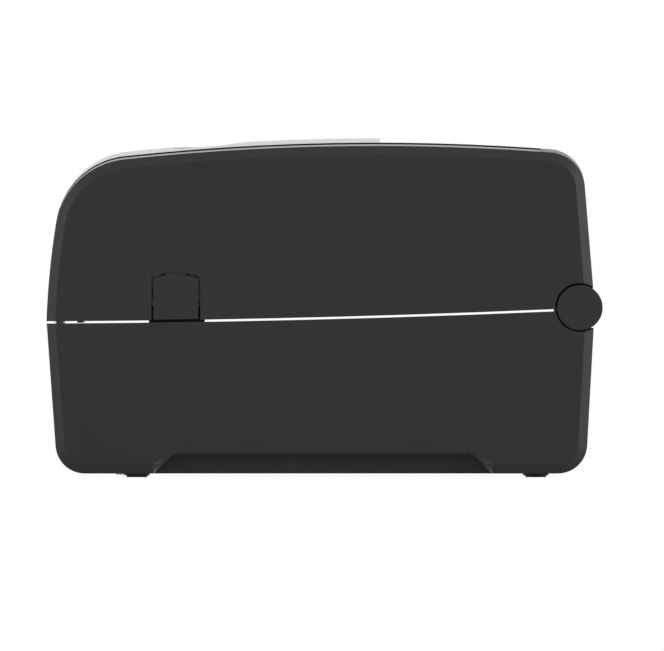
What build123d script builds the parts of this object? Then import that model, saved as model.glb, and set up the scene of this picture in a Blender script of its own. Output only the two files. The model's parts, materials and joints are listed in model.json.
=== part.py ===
from build123d import *
import math
import os

os.makedirs("parts", exist_ok=True)

# Desktop label printer that prints with an ink ribbon. Millimetres. The front is
# at -Y, the top at +Z, and the viewed side at +X. The origin is the middle of the
# footprint, on the surface that the feet stand on.

# Case
CASE_W = 226.0
HALF_W = CASE_W / 2
BASE_BOTTOM = 1.94
BASE_FRONT_LOW = -136.1
BASE_REAR_LOW = 133.1
BASE_FRONT_LEAN = 0.072
BASE_REAR_LEAN = 0.055
BASE_CORNER_R = 15.0
WALL = 2.8
OUTLINE_LOW = 60.0
LID_FRONT = [(-141.96, OUTLINE_LOW), (-139.52, 110.0), (-131.1, 158.6)]
LID_REAR = [(131.35, 164.3), (139.95, OUTLINE_LOW)]
LID_CROWN = (26.0, 168.95)
FRONT_TOP_SLOPE = 0.24
LID_NOSE_R = 39.5
LID_TAIL_R = 18.7
BEVEL_IN = 4.6
BEVEL_DEEP = 3.0
OVER = 20.0
FAR = 300.0

# Split between base and lid, a shallow curve in the side view
SPLIT_Y = 13.0
SPLIT_Z = 81.5
SPLIT_SLOPE = 0.0277
SPLIT_BEND = 0.000149
SPLIT_GAP = 1.13
SPLIT_REACH = 150.0

# Clearances and general sizes
RUN = 0.05
PLAY = 0.3
FIT = 0.4
SHEET = 2.0

# Lid covers
PANEL_T = 5.5
PANEL_SKIN = 2.8
FRAME_RIM = 1.7
FRAME_WALL = 4.6
TRIM_RISE = 0.8
TRIM_SEAT = 1.8
TRIM_Y = [-134.8, 110.0]
TRIM_LOW_Z = 137.0
PANEL_RIM = 7.0
COVER_T = 2.4
COVER_HALF_W = 92.0
COVER_FRONT_Y = -119.0
COVER_BACK_Y = 28.3
COVER_LOW_Z = 93.0
CROWN = 2.8
WINDOW_HALF_W = 78.0
WINDOW_FRONT_Y = 33.0
WINDOW_BACK_Y = 105.0
WINDOW_T = 2.0
WINDOW_SINK = 0.8
WINDOW_LEDGE = 3.0
TAIL_CAP_Y = 110.0
TAIL_CAP_RISE = 1.8
TAIL_CAP_LOW_Z = 141.0

# Hinge at the rear
HINGE_Y = 130.05
HINGE_Z = 86.5
BARREL_R = 11.7
SOCKET_R = 12.5
ROD_R = 3.0
KNUCKLE_INSET = 25.0
KNUCKLE_IN = HALF_W - KNUCKLE_INSET
BARREL_SINK = 0.4
BARREL_END = HALF_W - BARREL_SINK
KNOB_EDGE = 0.4
KNUCKLE_PAD = [55.0, 113.5, 172.0]

# Hand grip in each side of the base
GRIP_HALF_TOP = 74.0
GRIP_HALF_LOW = 86.2
GRIP_Y = -0.9
GRIP_TOP_Z = 13.5
GRIP_LIP = 2.3
GRIP_SLOPE = 7.0
GRIP_HALF_WIDE = 87.0
GRIP_KNEE_Z = 7.0
GRIP_CORNER_R = 6.75
GRIP_DEEP = 11.0

# Feet
FOOT_Y = [-95.7, 107.8]
FOOT_INSET = 25.0
FOOT_X = HALF_W - FOOT_INSET
FOOT_FLANGE = 13.0
FOOT_PAD = 10.7

# Bottom plate, set into the floor from below
PLATE_HALF_W = 78.0
PLATE_FRONT_Y = -112.0
PLATE_BACK_Y = 112.0
PLATE_T = 1.4
PLATE_LEDGE = 4.0

# Media bay and top sheet inside the base
SHEET_DROP = 2.6
BAY_HALF_W = 64.0
BAY_FRONT_Y = -14.0
BAY_BACK_Y = 114.0
BAY_FLOOR_Z = 8.0
BAY_CORNER_R = 8.0

# Label deck in front of the bay
DECK_FRONT_Y = -116.0
DECK_BACK_Y = -18.0
DECK_DROP = 8.0
DECK_FLANGE = 4.0
DECK_SLOT_Y = -60.0
DECK_SLOT_W = 8.0
DECK_SLOT_HALF = 50.0

# Roll holders, their hubs, racks and pinion
ROLL_Y = 50.0
ROLL_Z = 68.0
HUB_R = 12.0
HUB_LONG = 10.0
HOLDER_INSET = 8.0
HOLDER_X = BAY_HALF_W - HOLDER_INSET
HOLDER_T = 3.0
HOLDER_HALF = 24.0
HOLDER_LIFT = 5.5
TOOTH_ROOT = 1.2
TOOTH_TIP = 0.8
TOOTH_FOOT_HALF = 0.31
TOOTH_TIP_HALF = 0.11
TOOTH = [(-TOOTH_FOOT_HALF, -TOOTH_ROOT), (-TOOTH_TIP_HALF, TOOTH_TIP),
         (TOOTH_TIP_HALF, TOOTH_TIP), (TOOTH_FOOT_HALF, -TOOTH_ROOT)]
RACK_LIFT = 0.4
RACK_T = 3.0
RACK_W = 5.0
RACK_MODULE = 1.0
RACK_TEETH = 20
RACK_START = -2.5
PINION_TEETH = 12
PINION_PIN_R = 2.0

# Label guides and label sensor
GUIDE_INSET = 7.0
GUIDE_X = BAY_HALF_W - GUIDE_INSET
GUIDE_T = 2.0
GUIDE_TALL = 6.0
GUIDE_FRONT_Y = -82.0
GUIDE_BACK_Y = -34.0
SENSOR_HALF_W = 7.0
SENSOR_TALL = 8.0
SENSOR_ROD_R = 1.5

# Platen, tear bar and front bezel
PLATEN_Y = -125.0
PLATEN_Z = 71.5
PLATEN_R = 7.0
PLATEN_INSET = 7.0
PLATEN_HALF = BAY_HALF_W - PLATEN_INSET
PLATEN_SHAFT_R = 2.5
BUSH_R = 5.0
BUSH_RIM = 1.2
BUSH_RIM_R = 6.2
WELL_BACK_Y = -115.0
WELL_LEFT = 24.0
WELL_RIGHT = 16.0
WELL_X = [-BAY_HALF_W - WELL_LEFT, BAY_HALF_W + WELL_RIGHT]
TEAR_Y = [-138.4, -133.7]
TEAR_TOP_Z = 79.7
TEAR_BLADE_T = 0.8
TEAR_TOOTH = 3.0
TEAR_TEETH = 40
TEAR_BITE = 1.1
TEAR_INSET = 4.0
TEAR_HALF = BAY_HALF_W - TEAR_INSET
BEZEL_TOP_Z = 77.6
SLOT_LOW_Z = 66.0

# Feed gears: module, teeth and places
GEAR_MODULE = 0.8
PLATEN_TEETH = 14
IDLER_TEETH = 40
PINION_MOTOR_TEETH = 12
IDLER_TURN = -48.0
MOTOR_TURN = -35.0
GEAR_W = 6.0
GEAR_GAP = 16.0
GEAR_X = [-BAY_HALF_W - GEAR_GAP - GEAR_W, -BAY_HALF_W - GEAR_GAP]
SIDE_PLATE_T = 1.5
SIDE_PLATE_GAP = 11.5
SIDE_PLATE_X = [BAY_HALF_W + SIDE_PLATE_GAP, BAY_HALF_W + SIDE_PLATE_GAP + SIDE_PLATE_T]
SIDE_PLATE_BACK_Y = [-64.0, -108.0]
SIDE_PLATE_TOP_Z = 77.0
MOTOR_HALF = 21.0
MOTOR_LONG = 38.0
MOTOR_SHAFT_R = 2.5
STUD_R = 3.0

# Main board and its sockets at the rear
BOARD_SHIFT = 4.1
BOARD_X = (BAY_HALF_W + SHEET + HALF_W - WALL) / 2 - BOARD_SHIFT
BOARD_T = 1.6
BOARD_Y = [10.0, 124.0]
BOARD_Z = [16.0, 66.0]
CHIPS = [(14.0, 22.0, 20.0, 20.0, 1.6), (42.0, 26.0, 12.0, 16.0, 1.2),
         (42.0, 6.0, 10.0, 8.0, 3.0), (8.0, 4.0, 14.0, 10.0, 4.0)]
CANS = [(30.0, 8.0), (62.0, 40.0), (74.0, 42.0)]
CAN_R = 4.0
CAN_LONG = 9.0
SOCKET_FACE = 1.2
SOCKET_MOUTH = 12.0
USB_W = 12.0
USB_H = 11.0
LAN_W = 16.0
LAN_H = 13.5
SERIAL_W = 9.5
SERIAL_H = 30.0
DC_W = 12.0
DC_H = 11.0

# Power switch, a rocker in the rear wall
SWITCH_INSET = 27.0
SWITCH_X = SWITCH_INSET - HALF_W
SWITCH_Z = 40.0
SWITCH_W = 13.0
SWITCH_H = 19.0
SWITCH_RIM = 2.0
SWITCH_DEEP = 12.0
SWITCH_WALL = 1.0
ROCKER_TILT = 7.0
ROCKER_SINK = 4.0
ROCKER_PIN_R = 1.2

# Latch hooks of the release tabs and the ledges that they catch
TAB_Y = -75.75
TAB_HALF = 11.4
TAB_CORNER_Z = 101.4
TAB_SLIT = 1.1
TAB_NECK_HALF = 4.9
TAB_SHOULDER_RISE = 1.5
TAB_T = 2.4
TAB_SINK = 0.3
TAB_PIN_X = HALF_W - TAB_SINK - TAB_T / 2
TAB_PIN_Z = 104.3
TAB_PIN_R = 0.8
TAB_PIN_LONG = 2.1
ARM_HALF = 11.0
ARM_Z = [84.0, 87.0]
HOOK_HALF = 13.8
HOOK_T = 3.0
HOOK_INSET = 10.5
HOOK_X = [HALF_W - HOOK_INSET - HOOK_T, HALF_W - HOOK_INSET]
HOOK_SWING = 5.0
HOOK_LOW_Z = 69.0
HOOK_NOSE = 1.6
NOSE_Z = [70.0, 73.0]
LEDGE_IN = HOOK_X[1] + HOOK_NOSE + PLAY
LEDGE_Z = [74.5, 77.0]

# Label mouth in the lid's front wall
MOUTH_HALF = TEAR_HALF
MOUTH_TALL = 5.0

# Ribbon carriage inside the lid
CARRIAGE_T = 1.5
CARRIAGE_GAP = 8.0
CARRIAGE_X = [BAY_HALF_W + CARRIAGE_GAP, BAY_HALF_W + CARRIAGE_GAP + CARRIAGE_T]
CARRIAGE_Y = [-122.0, -14.0]
CARRIAGE_Z = [84.5, 148.0]
BAR_R = 3.0
BAR_PLACES = [(-24.0, 92.0), (-66.0, 144.0)]
SUPPLY_Y = -42.0
SUPPLY_Z = 121.0
TAKEUP_Y = -96.0
TAKEUP_Z = 124.0
SPINDLE_R = 6.5
SPINDLE_FIN = 1.6
SPINDLE_FLANGE_R = 13.0
SPINDLE_SHAFT_R = 3.0
TAKEUP_TEETH = 30
RIBBON_TEETH = 12
RIBBON_TURN = 35.0
RIBBON_GEAR_W = 5.0
RIBBON_GEAR_GAP = 2.5
RIBBON_GEAR_IN = CARRIAGE_X[1] + RIBBON_GEAR_GAP
RIBBON_GEAR_X = [-RIBBON_GEAR_IN - RIBBON_GEAR_W, -RIBBON_GEAR_IN]
RIBBON_MOTOR_R = 12.0

# Print head, on a sprung bracket
HEAD_INSET = 8.0
HEAD_HALF = BAY_HALF_W - HEAD_INSET
HEAD_PIVOT_Y = -98.0
HEAD_PIVOT_Z = 96.0
HEAD_PIVOT_R = 2.5
HEAD_LIP_W = 3.0
HEAD_LOW_Z = 84.5
HEAD_FRONT_Y = -131.0
SINK_Z = 92.0
BRACKET_T = 2.0
SPRING_X = 30.0
SPRING_Y = -114.0
SPRING_R = 4.0
SPRING_TOP_Z = 108.0

# Feed button and lamps on the cover
VALLEY_Y = -68.0
VALLEY_R = 121.0
VALLEY_DEEP = 1.2
BUTTON_INSET = 34.0
BUTTON_X = COVER_HALF_W - BUTTON_INSET
BUTTON_R = 9.0
BUTTON_FLANGE = 1.5
BUTTON_TRAVEL = 1.2
BUTTON_POST = 14.0
BUTTON_STEM = 3.0
LENS_R = 2.0
LENS_INSET = [62.0, 54.0]
LENS_X = [COVER_HALF_W - inset for inset in LENS_INSET]

# Screws of the bottom plate
SCREW_INSET = 8.0
SCREW_X = PLATE_HALF_W - SCREW_INSET
SCREW_Y = [-104.0, 104.0]
SCREW_HEAD_R = 2.8
SCREW_HEAD_T = 1.1
SCREW_R = 1.5

HALF_GAP = SPLIT_GAP / 2
INNER_X = HALF_W - WALL
PANEL_IN = HALF_W - PANEL_T


def split_z(y):
    """Height of the middle of the split at a depth."""
    step = y - SPLIT_Y
    return SPLIT_Z + SPLIT_SLOPE * step + 0.5 * SPLIT_BEND * step * step


def box(x0, x1, y0, y1, z0, z1):
    """Block between two corners."""
    middle = Pos((x0 + x1) / 2, (y0 + y1) / 2, (z0 + z1) / 2)
    return middle * Box(x1 - x0, y1 - y0, z1 - z0)


def across(face, x0, x1):
    """Side view face carried from x0 to x1."""
    return extrude(Pos(x0, 0, 0) * (Plane.YZ * face), amount=x1 - x0)


def rod_x(y, z, r, x0, x1):
    """Round bar along X."""
    return across(Pos(y, z) * Circle(r), x0, x1)


def rod_y(x, z, r, y0, y1):
    """Round bar along Y."""
    turned = Rot(90, 0, 0) * Cylinder(r, y1 - y0)
    return Pos(x, (y0 + y1) / 2, z) * turned


def rod_z(x, y, r, z0, z1):
    """Upright round bar."""
    return Pos(x, y, (z0 + z1) / 2) * Cylinder(r, z1 - z0)


def both_sides(shape):
    """A shape and its mirror image across the middle plane."""
    return [shape, mirror(shape, about=Plane.YZ)]


def save(shape, name):
    """Write one node."""
    solids = shape if isinstance(shape, list) else [shape]
    loose = [s for item in solids for s in item.solids()]
    export_step(Compound(children=loose), "parts/" + name + ".step")


def split_arc(shift):
    """The split line in the side view, moved up or down."""
    ends = (-SPLIT_REACH, SPLIT_Y, SPLIT_REACH)
    return ThreePointArc(*[(y, split_z(y) + shift) for y in ends])


def split_slab(low, high):
    """Side view band between two lines parallel to the split."""
    bottom = split_arc(low)
    top = split_arc(high)
    return make_face([bottom, Line(bottom @ 1, top @ 1), top, Line(top @ 0, bottom @ 0)])


def above_split(shift=HALF_GAP):
    """Everything above the split."""
    return across(split_slab(shift, FAR), -FAR, FAR)


def below_split(shift=-HALF_GAP):
    """Everything below the split."""
    return across(split_slab(-FAR, shift), -FAR, FAR)


def base_outline():
    """Side view of the base, taller than the split."""
    top = OUTLINE_LOW + 2 * OVER
    rise = top - BASE_BOTTOM
    corners = [
        (BASE_FRONT_LOW, BASE_BOTTOM),
        (BASE_REAR_LOW, BASE_BOTTOM),
        (BASE_REAR_LOW + BASE_REAR_LEAN * rise, top),
        (BASE_FRONT_LOW - BASE_FRONT_LEAN * rise, top),
    ]
    face = make_face(Polyline(*corners, close=True))
    low = face.vertices().group_by(Axis.Y)[0]
    return fillet(low, BASE_CORNER_R)


def lid_outline(rise=0.0):
    """Side view of the lid, longer than the split, with its top raised."""
    nose = (LID_FRONT[2][0] + FRONT_TOP_SLOPE * rise, LID_FRONT[2][1] + rise)
    lean = (LID_REAR[1][0] - LID_REAR[0][0]) / (LID_REAR[0][1] - LID_REAR[1][1])
    tail = (LID_REAR[0][0] - lean * rise, LID_REAR[0][1] + rise)
    edges = [
        ThreePointArc(LID_FRONT[0], LID_FRONT[1], nose),
        ThreePointArc(nose, (LID_CROWN[0], LID_CROWN[1] + rise), tail),
        Line(tail, LID_REAR[1]),
        Line(LID_REAR[1], LID_FRONT[0]),
    ]
    face = make_face(edges)
    face = fillet(face.vertices().sort_by_distance(nose)[0], LID_NOSE_R)
    return fillet(face.vertices().sort_by_distance(tail)[0], LID_TAIL_R)


def bevelled(body, side):
    """Slope the edge all round one side face."""
    face = body.faces().sort_by(Axis.X)[-1 if side > 0 else 0]
    return chamfer(face.edges(), length=BEVEL_IN, length2=BEVEL_DEEP, reference=face)


def socket():
    """Round space for the hinge barrel, right across."""
    return rod_x(HINGE_Y, HINGE_Z, SOCKET_R, -HALF_W - OVER, HALF_W + OVER)


def grip_face(halves, heights):
    """Side view of the hand grip, open at the bottom, from its right corners upwards."""
    corners = list(zip(halves, [BASE_BOTTOM - OVER, *heights]))
    corners += [(-y, z) for y, z in reversed(corners)]
    face = make_face(Polyline(*[(GRIP_Y + y, z) for y, z in corners], close=True))
    high = face.vertices().group_by(Axis.Y)[-1]
    return fillet(high, GRIP_CORNER_R)


def grip_mouth(out=0.0):
    """Outline of the hand grip on the side face, grown by a wall if asked."""
    wide = GRIP_HALF_WIDE + out
    return grip_face([wide, wide, GRIP_HALF_TOP + out], [GRIP_KNEE_Z + out, GRIP_TOP_Z + out])


def grip_pocket():
    """Outline of the hand grip behind its lip, with sides that slope to the bottom edge."""
    top = GRIP_TOP_Z - GRIP_LIP
    slope = (GRIP_HALF_LOW - GRIP_HALF_TOP) / (GRIP_TOP_Z - BASE_BOTTOM)
    heights = [(BASE_BOTTOM + top) / 2, top]
    halves = [GRIP_HALF_TOP + slope * (GRIP_TOP_Z - z) for z in (BASE_BOTTOM - OVER, *heights)]
    return grip_face(halves, heights)


def grip_scoop():
    """Right hand grip: a sloping lip all round, then a straight pocket."""
    inner = grip_pocket()
    places = [(HALF_W - GRIP_SLOPE, inner), (HALF_W, grip_mouth())]
    slope = loft([Pos(x, 0, 0) * (Plane.YZ * face) for x, face in places])
    pocket = across(inner, HALF_W - GRIP_DEEP, HALF_W - GRIP_SLOPE)
    return pocket + slope + across(grip_mouth(), HALF_W, HALF_W + OVER)


def gear(teeth, module, turn=0.0):
    """Flat gear outline with straight-sided teeth, one of them at the given turn."""
    r = teeth * module / 2
    pitch = 360.0 / teeth
    pts = []
    for i in range(teeth):
        for share, height in TOOTH:
            radius = r + height * module
            a = math.radians(turn + (i + share) * pitch)
            pts.append((radius * math.cos(a), radius * math.sin(a)))
    return make_face(Polyline(*pts, close=True))


def rack(teeth, module, depth):
    """Flat rack outline, teeth up, its pitch line on the X axis, first tooth at 0."""
    pitch = math.pi * module
    low = -TOOTH_ROOT * module
    pts = [(-pitch / 2, low - depth), (-pitch / 2, low)]
    for i in range(teeth):
        pts += [((i + share) * pitch, height * module) for share, height in TOOTH]
    pts += [((teeth - 0.5) * pitch, low), ((teeth - 0.5) * pitch, low - depth)]
    return make_face(Polyline(*pts, close=True))


def inside_base(gap=PLAY):
    """Room inside the base shell, less a gap all round."""
    face = offset(base_outline(), amount=-WALL - gap)
    return across(face, -INNER_X + gap, INNER_X - gap) - socket()


def place_at(y, z, turn, reach):
    """Point at a distance and a direction from another, in the side view."""
    a = math.radians(turn)
    return y + reach * math.cos(a), z + reach * math.sin(a)


IDLER_REACH = (PLATEN_TEETH + IDLER_TEETH) * GEAR_MODULE / 2
PINION_REACH = (IDLER_TEETH + PINION_MOTOR_TEETH) * GEAR_MODULE / 2
IDLER_Y, IDLER_Z = place_at(PLATEN_Y, PLATEN_Z, IDLER_TURN, IDLER_REACH)
MOTOR_Y, MOTOR_Z = place_at(IDLER_Y, IDLER_Z, MOTOR_TURN, PINION_REACH)


def make_base_shell():
    """Outer casing of the base, open at the top and the bottom."""
    body = across(base_outline(), -HALF_W, HALF_W)
    body = bevelled(bevelled(body, 1), -1)
    hollow = across(offset(base_outline(), amount=-WALL), -INNER_X, INNER_X)
    scoop = grip_scoop()
    scoop_wall = across(grip_mouth(WALL), HALF_W - GRIP_DEEP - WALL, HALF_W + OVER)
    for cut, wall in zip(both_sides(scoop), both_sides(scoop_wall)):
        hollow -= wall
        body -= cut
    body -= hollow
    body = body & below_split()
    body -= plate_room()
    body -= rear_openings()
    body -= front_opening()
    for ledge in both_sides(hook_ledge()):
        body += ledge
    return body - socket()


def plate_room():
    """Stepped opening in the floor for the bottom plate."""
    low = box(-PLATE_HALF_W, PLATE_HALF_W, PLATE_FRONT_Y, PLATE_BACK_Y,
              0, BASE_BOTTOM + PLATE_T)
    inset = PLATE_LEDGE
    high = box(-PLATE_HALF_W + inset, PLATE_HALF_W - inset, PLATE_FRONT_Y + inset,
               PLATE_BACK_Y - inset, 0, BASE_BOTTOM + WALL + PLAY)
    return low + high


def rear_openings():
    """Openings in the rear wall for the sockets and the switch."""
    y0 = BASE_REAR_LOW - OVER
    y1 = BASE_REAR_LOW + OVER
    cuts = box(SWITCH_X - SWITCH_W / 2, SWITCH_X + SWITCH_W / 2, y0, y1,
               SWITCH_Z - SWITCH_H / 2, SWITCH_Z + SWITCH_H / 2)
    for x0, x1, z0, z1 in socket_places().values():
        cuts += box(x0 - PLAY, x1 + PLAY, y0, y1, z0 - PLAY, z1 + PLAY)
    return cuts


def socket_places():
    """Left, right, bottom and top of each rear socket, in a column on the board."""
    left = BOARD_X + BOARD_T
    z = BOARD_Z[0] + SOCKET_FACE
    places = {}
    sizes = [("dc_inlet", DC_W, DC_H), ("usb_socket", USB_W, USB_H),
             ("network_socket", LAN_W, LAN_H)]
    for name, wide, tall in sizes:
        places[name] = (left, left + wide, z, z + tall)
        z += tall + 2 * SOCKET_FACE
    right = BOARD_X
    low = BOARD_Z[0] + SOCKET_FACE
    places["serial_socket"] = (right - SERIAL_W, right, low, low + SERIAL_H)
    return places


def front_opening():
    """Wide notch in the front wall for the bezel and the tear bar."""
    half = TEAR_HALF + PLAY
    return box(-half, half, BASE_FRONT_LOW - OVER, PLATEN_Y, SLOT_LOW_Z, FAR)


def hook_ledge():
    """Ledge inside the right wall of the base, over the nose of the latch hook."""
    return box(LEDGE_IN, INNER_X, TAB_Y - HOOK_HALF, TAB_Y + HOOK_HALF, *LEDGE_Z)


def make_bottom_plate():
    """Flat plate that closes the floor."""
    plate = box(-PLATE_HALF_W + PLAY, PLATE_HALF_W - PLAY, PLATE_FRONT_Y + PLAY,
                PLATE_BACK_Y - PLAY, BASE_BOTTOM, BASE_BOTTOM + PLATE_T)
    for x, y in screw_places():
        plate -= rod_z(x, y, SCREW_R + RUN, 0, OUTLINE_LOW)
    return plate


def screw_places():
    """Corners of the bottom plate that take a screw."""
    return [(x, y) for x in (-SCREW_X, SCREW_X) for y in SCREW_Y]


def make_base_screws():
    """Screws of the bottom plate."""
    screws = []
    for x, y in screw_places():
        screw = rod_z(x, y, SCREW_HEAD_R, BASE_BOTTOM - SCREW_HEAD_T, BASE_BOTTOM)
        screws.append(screw + rod_z(x, y, SCREW_R, BASE_BOTTOM, BASE_BOTTOM + PLATE_T))
    return screws


def make_feet():
    """Four stepped rubber feet."""
    feet = []
    for y in FOOT_Y:
        for x in (-FOOT_X, FOOT_X):
            step = BASE_BOTTOM / 2
            foot = rod_z(x, y, FOOT_FLANGE / 2, step, BASE_BOTTOM)
            foot += rod_z(x, y, FOOT_PAD / 2, 0, step)
            feet.append(foot)
    return feet





def make_bay_liner():
    """Top sheet of the base with the media tub sunk into it."""
    sheet = across(split_slab(-SHEET_DROP - SHEET, -SHEET_DROP), -FAR, FAR)
    half = BAY_HALF_W + SHEET
    tub = box(-half, half, BAY_FRONT_Y - SHEET, BAY_BACK_Y + SHEET, BAY_FLOOR_Z - SHEET, FAR)
    tub = fillet(tub.edges().filter_by(Axis.X).group_by(Axis.Z)[0], BAY_CORNER_R + SHEET)
    room = box(-BAY_HALF_W, BAY_HALF_W, BAY_FRONT_Y, BAY_BACK_Y, BAY_FLOOR_Z, FAR + OVER)
    room = fillet(room.edges().filter_by(Axis.X).group_by(Axis.Z)[0], BAY_CORNER_R)
    liner = sheet + (tub & below_split(-SHEET_DROP))
    liner = liner & inside_base()
    liner -= room
    deck_half = BAY_HALF_W - PLAY
    liner -= box(-deck_half, deck_half, DECK_FRONT_Y - PLAY, DECK_BACK_Y + PLAY,
                 OUTLINE_LOW, FAR)
    liner -= box(WELL_X[0], WELL_X[1], -FAR, WELL_BACK_Y, 0, FAR)
    arm_room = box(KNUCKLE_IN - PLAY, FAR, HINGE_Y - BARREL_R - PLAY, FAR, 0, FAR)
    for slot in both_sides(hook_slot()) + both_sides(arm_room):
        liner -= slot
    pin = rod_z(0, ROLL_Y, PINION_PIN_R, BAY_FLOOR_Z, BAY_FLOOR_Z + RACK_LIFT + RACK_T)
    return liner + pin


def hook_slot():
    """Slot in the top sheet that the latch hook swings in."""
    half = HOOK_HALF + 2 * PLAY
    return box(HOOK_X[0] - HOOK_SWING, INNER_X + PLAY, TAB_Y - half, TAB_Y + half, OUTLINE_LOW, FAR)


def deck_z(y):
    """Height of the label deck's upper face."""
    return split_z(y) - DECK_DROP


def make_label_deck():
    """Shallow channel that the labels slide along, hung on its flanges."""
    outer = BAY_HALF_W - 2 * PLAY
    inner = outer - SHEET
    low = across(split_slab(-DECK_DROP - SHEET, -SHEET_DROP), -outer, outer)
    lip = across(split_slab(-SHEET_DROP, -SHEET_DROP + SHEET / 2), -outer - DECK_FLANGE,
                 outer + DECK_FLANGE)
    room = across(split_slab(-DECK_DROP, FAR), -inner, inner)
    deck = low + lip - room
    deck = deck & box(-FAR, FAR, DECK_FRONT_Y, DECK_BACK_Y, 0, FAR)
    half = DECK_SLOT_W / 2
    return deck - box(-DECK_SLOT_HALF, DECK_SLOT_HALF, DECK_SLOT_Y - half, DECK_SLOT_Y + half,
                      0, FAR)


def make_front_bezel():
    """Insert in the front notch, under the tear bar."""
    body = across(base_outline(), -TEAR_HALF, TEAR_HALF)
    back = TEAR_Y[1] - PLAY
    return body & box(-FAR, FAR, -FAR, back, SLOT_LOW_Z + PLAY, BEZEL_TOP_Z)


def make_tear_bar():
    """Toothed blade on a flat bar."""
    bar = box(-TEAR_HALF, TEAR_HALF, TEAR_Y[0] + TEAR_BITE, TEAR_Y[1], BEZEL_TOP_Z,
              TEAR_TOP_Z - TEAR_BLADE_T)
    pts = [(-TEAR_HALF, TEAR_Y[1]), (-TEAR_HALF, TEAR_Y[0] + TEAR_BITE)]
    for i in range(TEAR_TEETH):
        x = -TEAR_HALF + (i + 0.5) * TEAR_TOOTH
        pts.append((x, TEAR_Y[0]))
        pts.append((x + TEAR_TOOTH / 2, TEAR_Y[0] + TEAR_BITE))
    pts.append((TEAR_HALF, TEAR_Y[1]))
    blade = make_face(Polyline(*pts, close=True))
    return bar + extrude(Pos(0, 0, TEAR_TOP_Z - TEAR_BLADE_T) * blade, amount=TEAR_BLADE_T)


def make_side_plate(side):
    """Upright steel plate that carries one end of the platen."""
    back = SIDE_PLATE_BACK_Y[0 if side < 0 else 1]
    x0, x1 = sorted((side * SIDE_PLATE_X[0], side * SIDE_PLATE_X[1]))
    plate = box(x0, x1, -FAR, back, 0, SIDE_PLATE_TOP_Z) & inside_base()
    under = below_split(-SHEET_DROP - SHEET - PLAY)
    plate -= box(x0, x1, WELL_BACK_Y - PLAY, back, OUTLINE_LOW, FAR) - under
    plate -= rod_x(PLATEN_Y, PLATEN_Z, BUSH_R, -FAR, FAR)
    plate -= box(-FAR, FAR, PLATEN_Y - BUSH_R, PLATEN_Y + BUSH_R, PLATEN_Z, FAR)
    if side < 0:
        plate -= rod_x(MOTOR_Y, MOTOR_Z, 2 * MOTOR_SHAFT_R, -FAR, FAR)
        plate += rod_x(IDLER_Y, IDLER_Z, STUD_R, GEAR_X[0] - SHEET, x0)
    return plate


def make_platen_bushes():
    """Rimmed bushes that drop into the open slots of the side plates."""
    bushes = []
    for side in (-1, 1):
        x0, x1 = sorted((side * SIDE_PLATE_X[0], side * SIDE_PLATE_X[1]))
        bush = rod_x(PLATEN_Y, PLATEN_Z, BUSH_R, x0, x1)
        inner = sorted((side * SIDE_PLATE_X[0], side * (SIDE_PLATE_X[0] - BUSH_RIM)))
        bush += rod_x(PLATEN_Y, PLATEN_Z, BUSH_RIM_R, *inner)
        bushes.append(bush - rod_x(PLATEN_Y, PLATEN_Z, PLATEN_SHAFT_R + RUN, -FAR, FAR))
    return bushes


def make_platen():
    """Rubber roller, its steel shaft and the gear on the shaft's end."""
    sleeve = rod_x(PLATEN_Y, PLATEN_Z, PLATEN_R, -PLATEN_HALF, PLATEN_HALF)
    shaft = rod_x(PLATEN_Y, PLATEN_Z, PLATEN_SHAFT_R, GEAR_X[0], SIDE_PLATE_X[1] + SHEET)
    wheel = Pos(PLATEN_Y, PLATEN_Z) * gear(PLATEN_TEETH, GEAR_MODULE, IDLER_TURN)
    wheel = across(wheel, *GEAR_X)
    bore = rod_x(PLATEN_Y, PLATEN_Z, PLATEN_SHAFT_R, -FAR, FAR)
    return sleeve - bore, shaft, wheel - bore


def make_idler_gear():
    """Gear between motor and platen, free on its stud."""
    gap = IDLER_TURN + 180 + 180 / IDLER_TEETH
    wheel = Pos(IDLER_Y, IDLER_Z) * gear(IDLER_TEETH, GEAR_MODULE, gap)
    wheel = across(wheel, *GEAR_X)
    return wheel - rod_x(IDLER_Y, IDLER_Z, STUD_R + RUN, -FAR, FAR)


def idler_tooth_shift():
    """Turn of the idler's nearest tooth past the line to the motor, in degrees."""
    pitch = 360 / IDLER_TEETH
    first = IDLER_TURN + 180 + pitch / 2
    return (first - MOTOR_TURN) % pitch


def make_motor_pinion():
    """Small gear on the motor shaft."""
    shift = idler_tooth_shift() * IDLER_TEETH / PINION_MOTOR_TEETH
    turn = MOTOR_TURN + 180 - shift + 180 / PINION_MOTOR_TEETH
    wheel = Pos(MOTOR_Y, MOTOR_Z) * gear(PINION_MOTOR_TEETH, GEAR_MODULE, turn)
    wheel = across(wheel, *GEAR_X)
    shaft = rod_x(MOTOR_Y, MOTOR_Z, MOTOR_SHAFT_R, GEAR_X[0], -SIDE_PLATE_X[0])
    return wheel + shaft


def make_feed_motor():
    """Square stepper motor against the left side plate, with a seat for its shaft."""
    half = MOTOR_HALF
    x0 = -SIDE_PLATE_X[0]
    case = box(x0, x0 + MOTOR_LONG, MOTOR_Y - half, MOTOR_Y + half, MOTOR_Z - half, MOTOR_Z + half)
    return chamfer(case.edges().filter_by(Axis.X), MOTOR_SHAFT_R)


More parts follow.
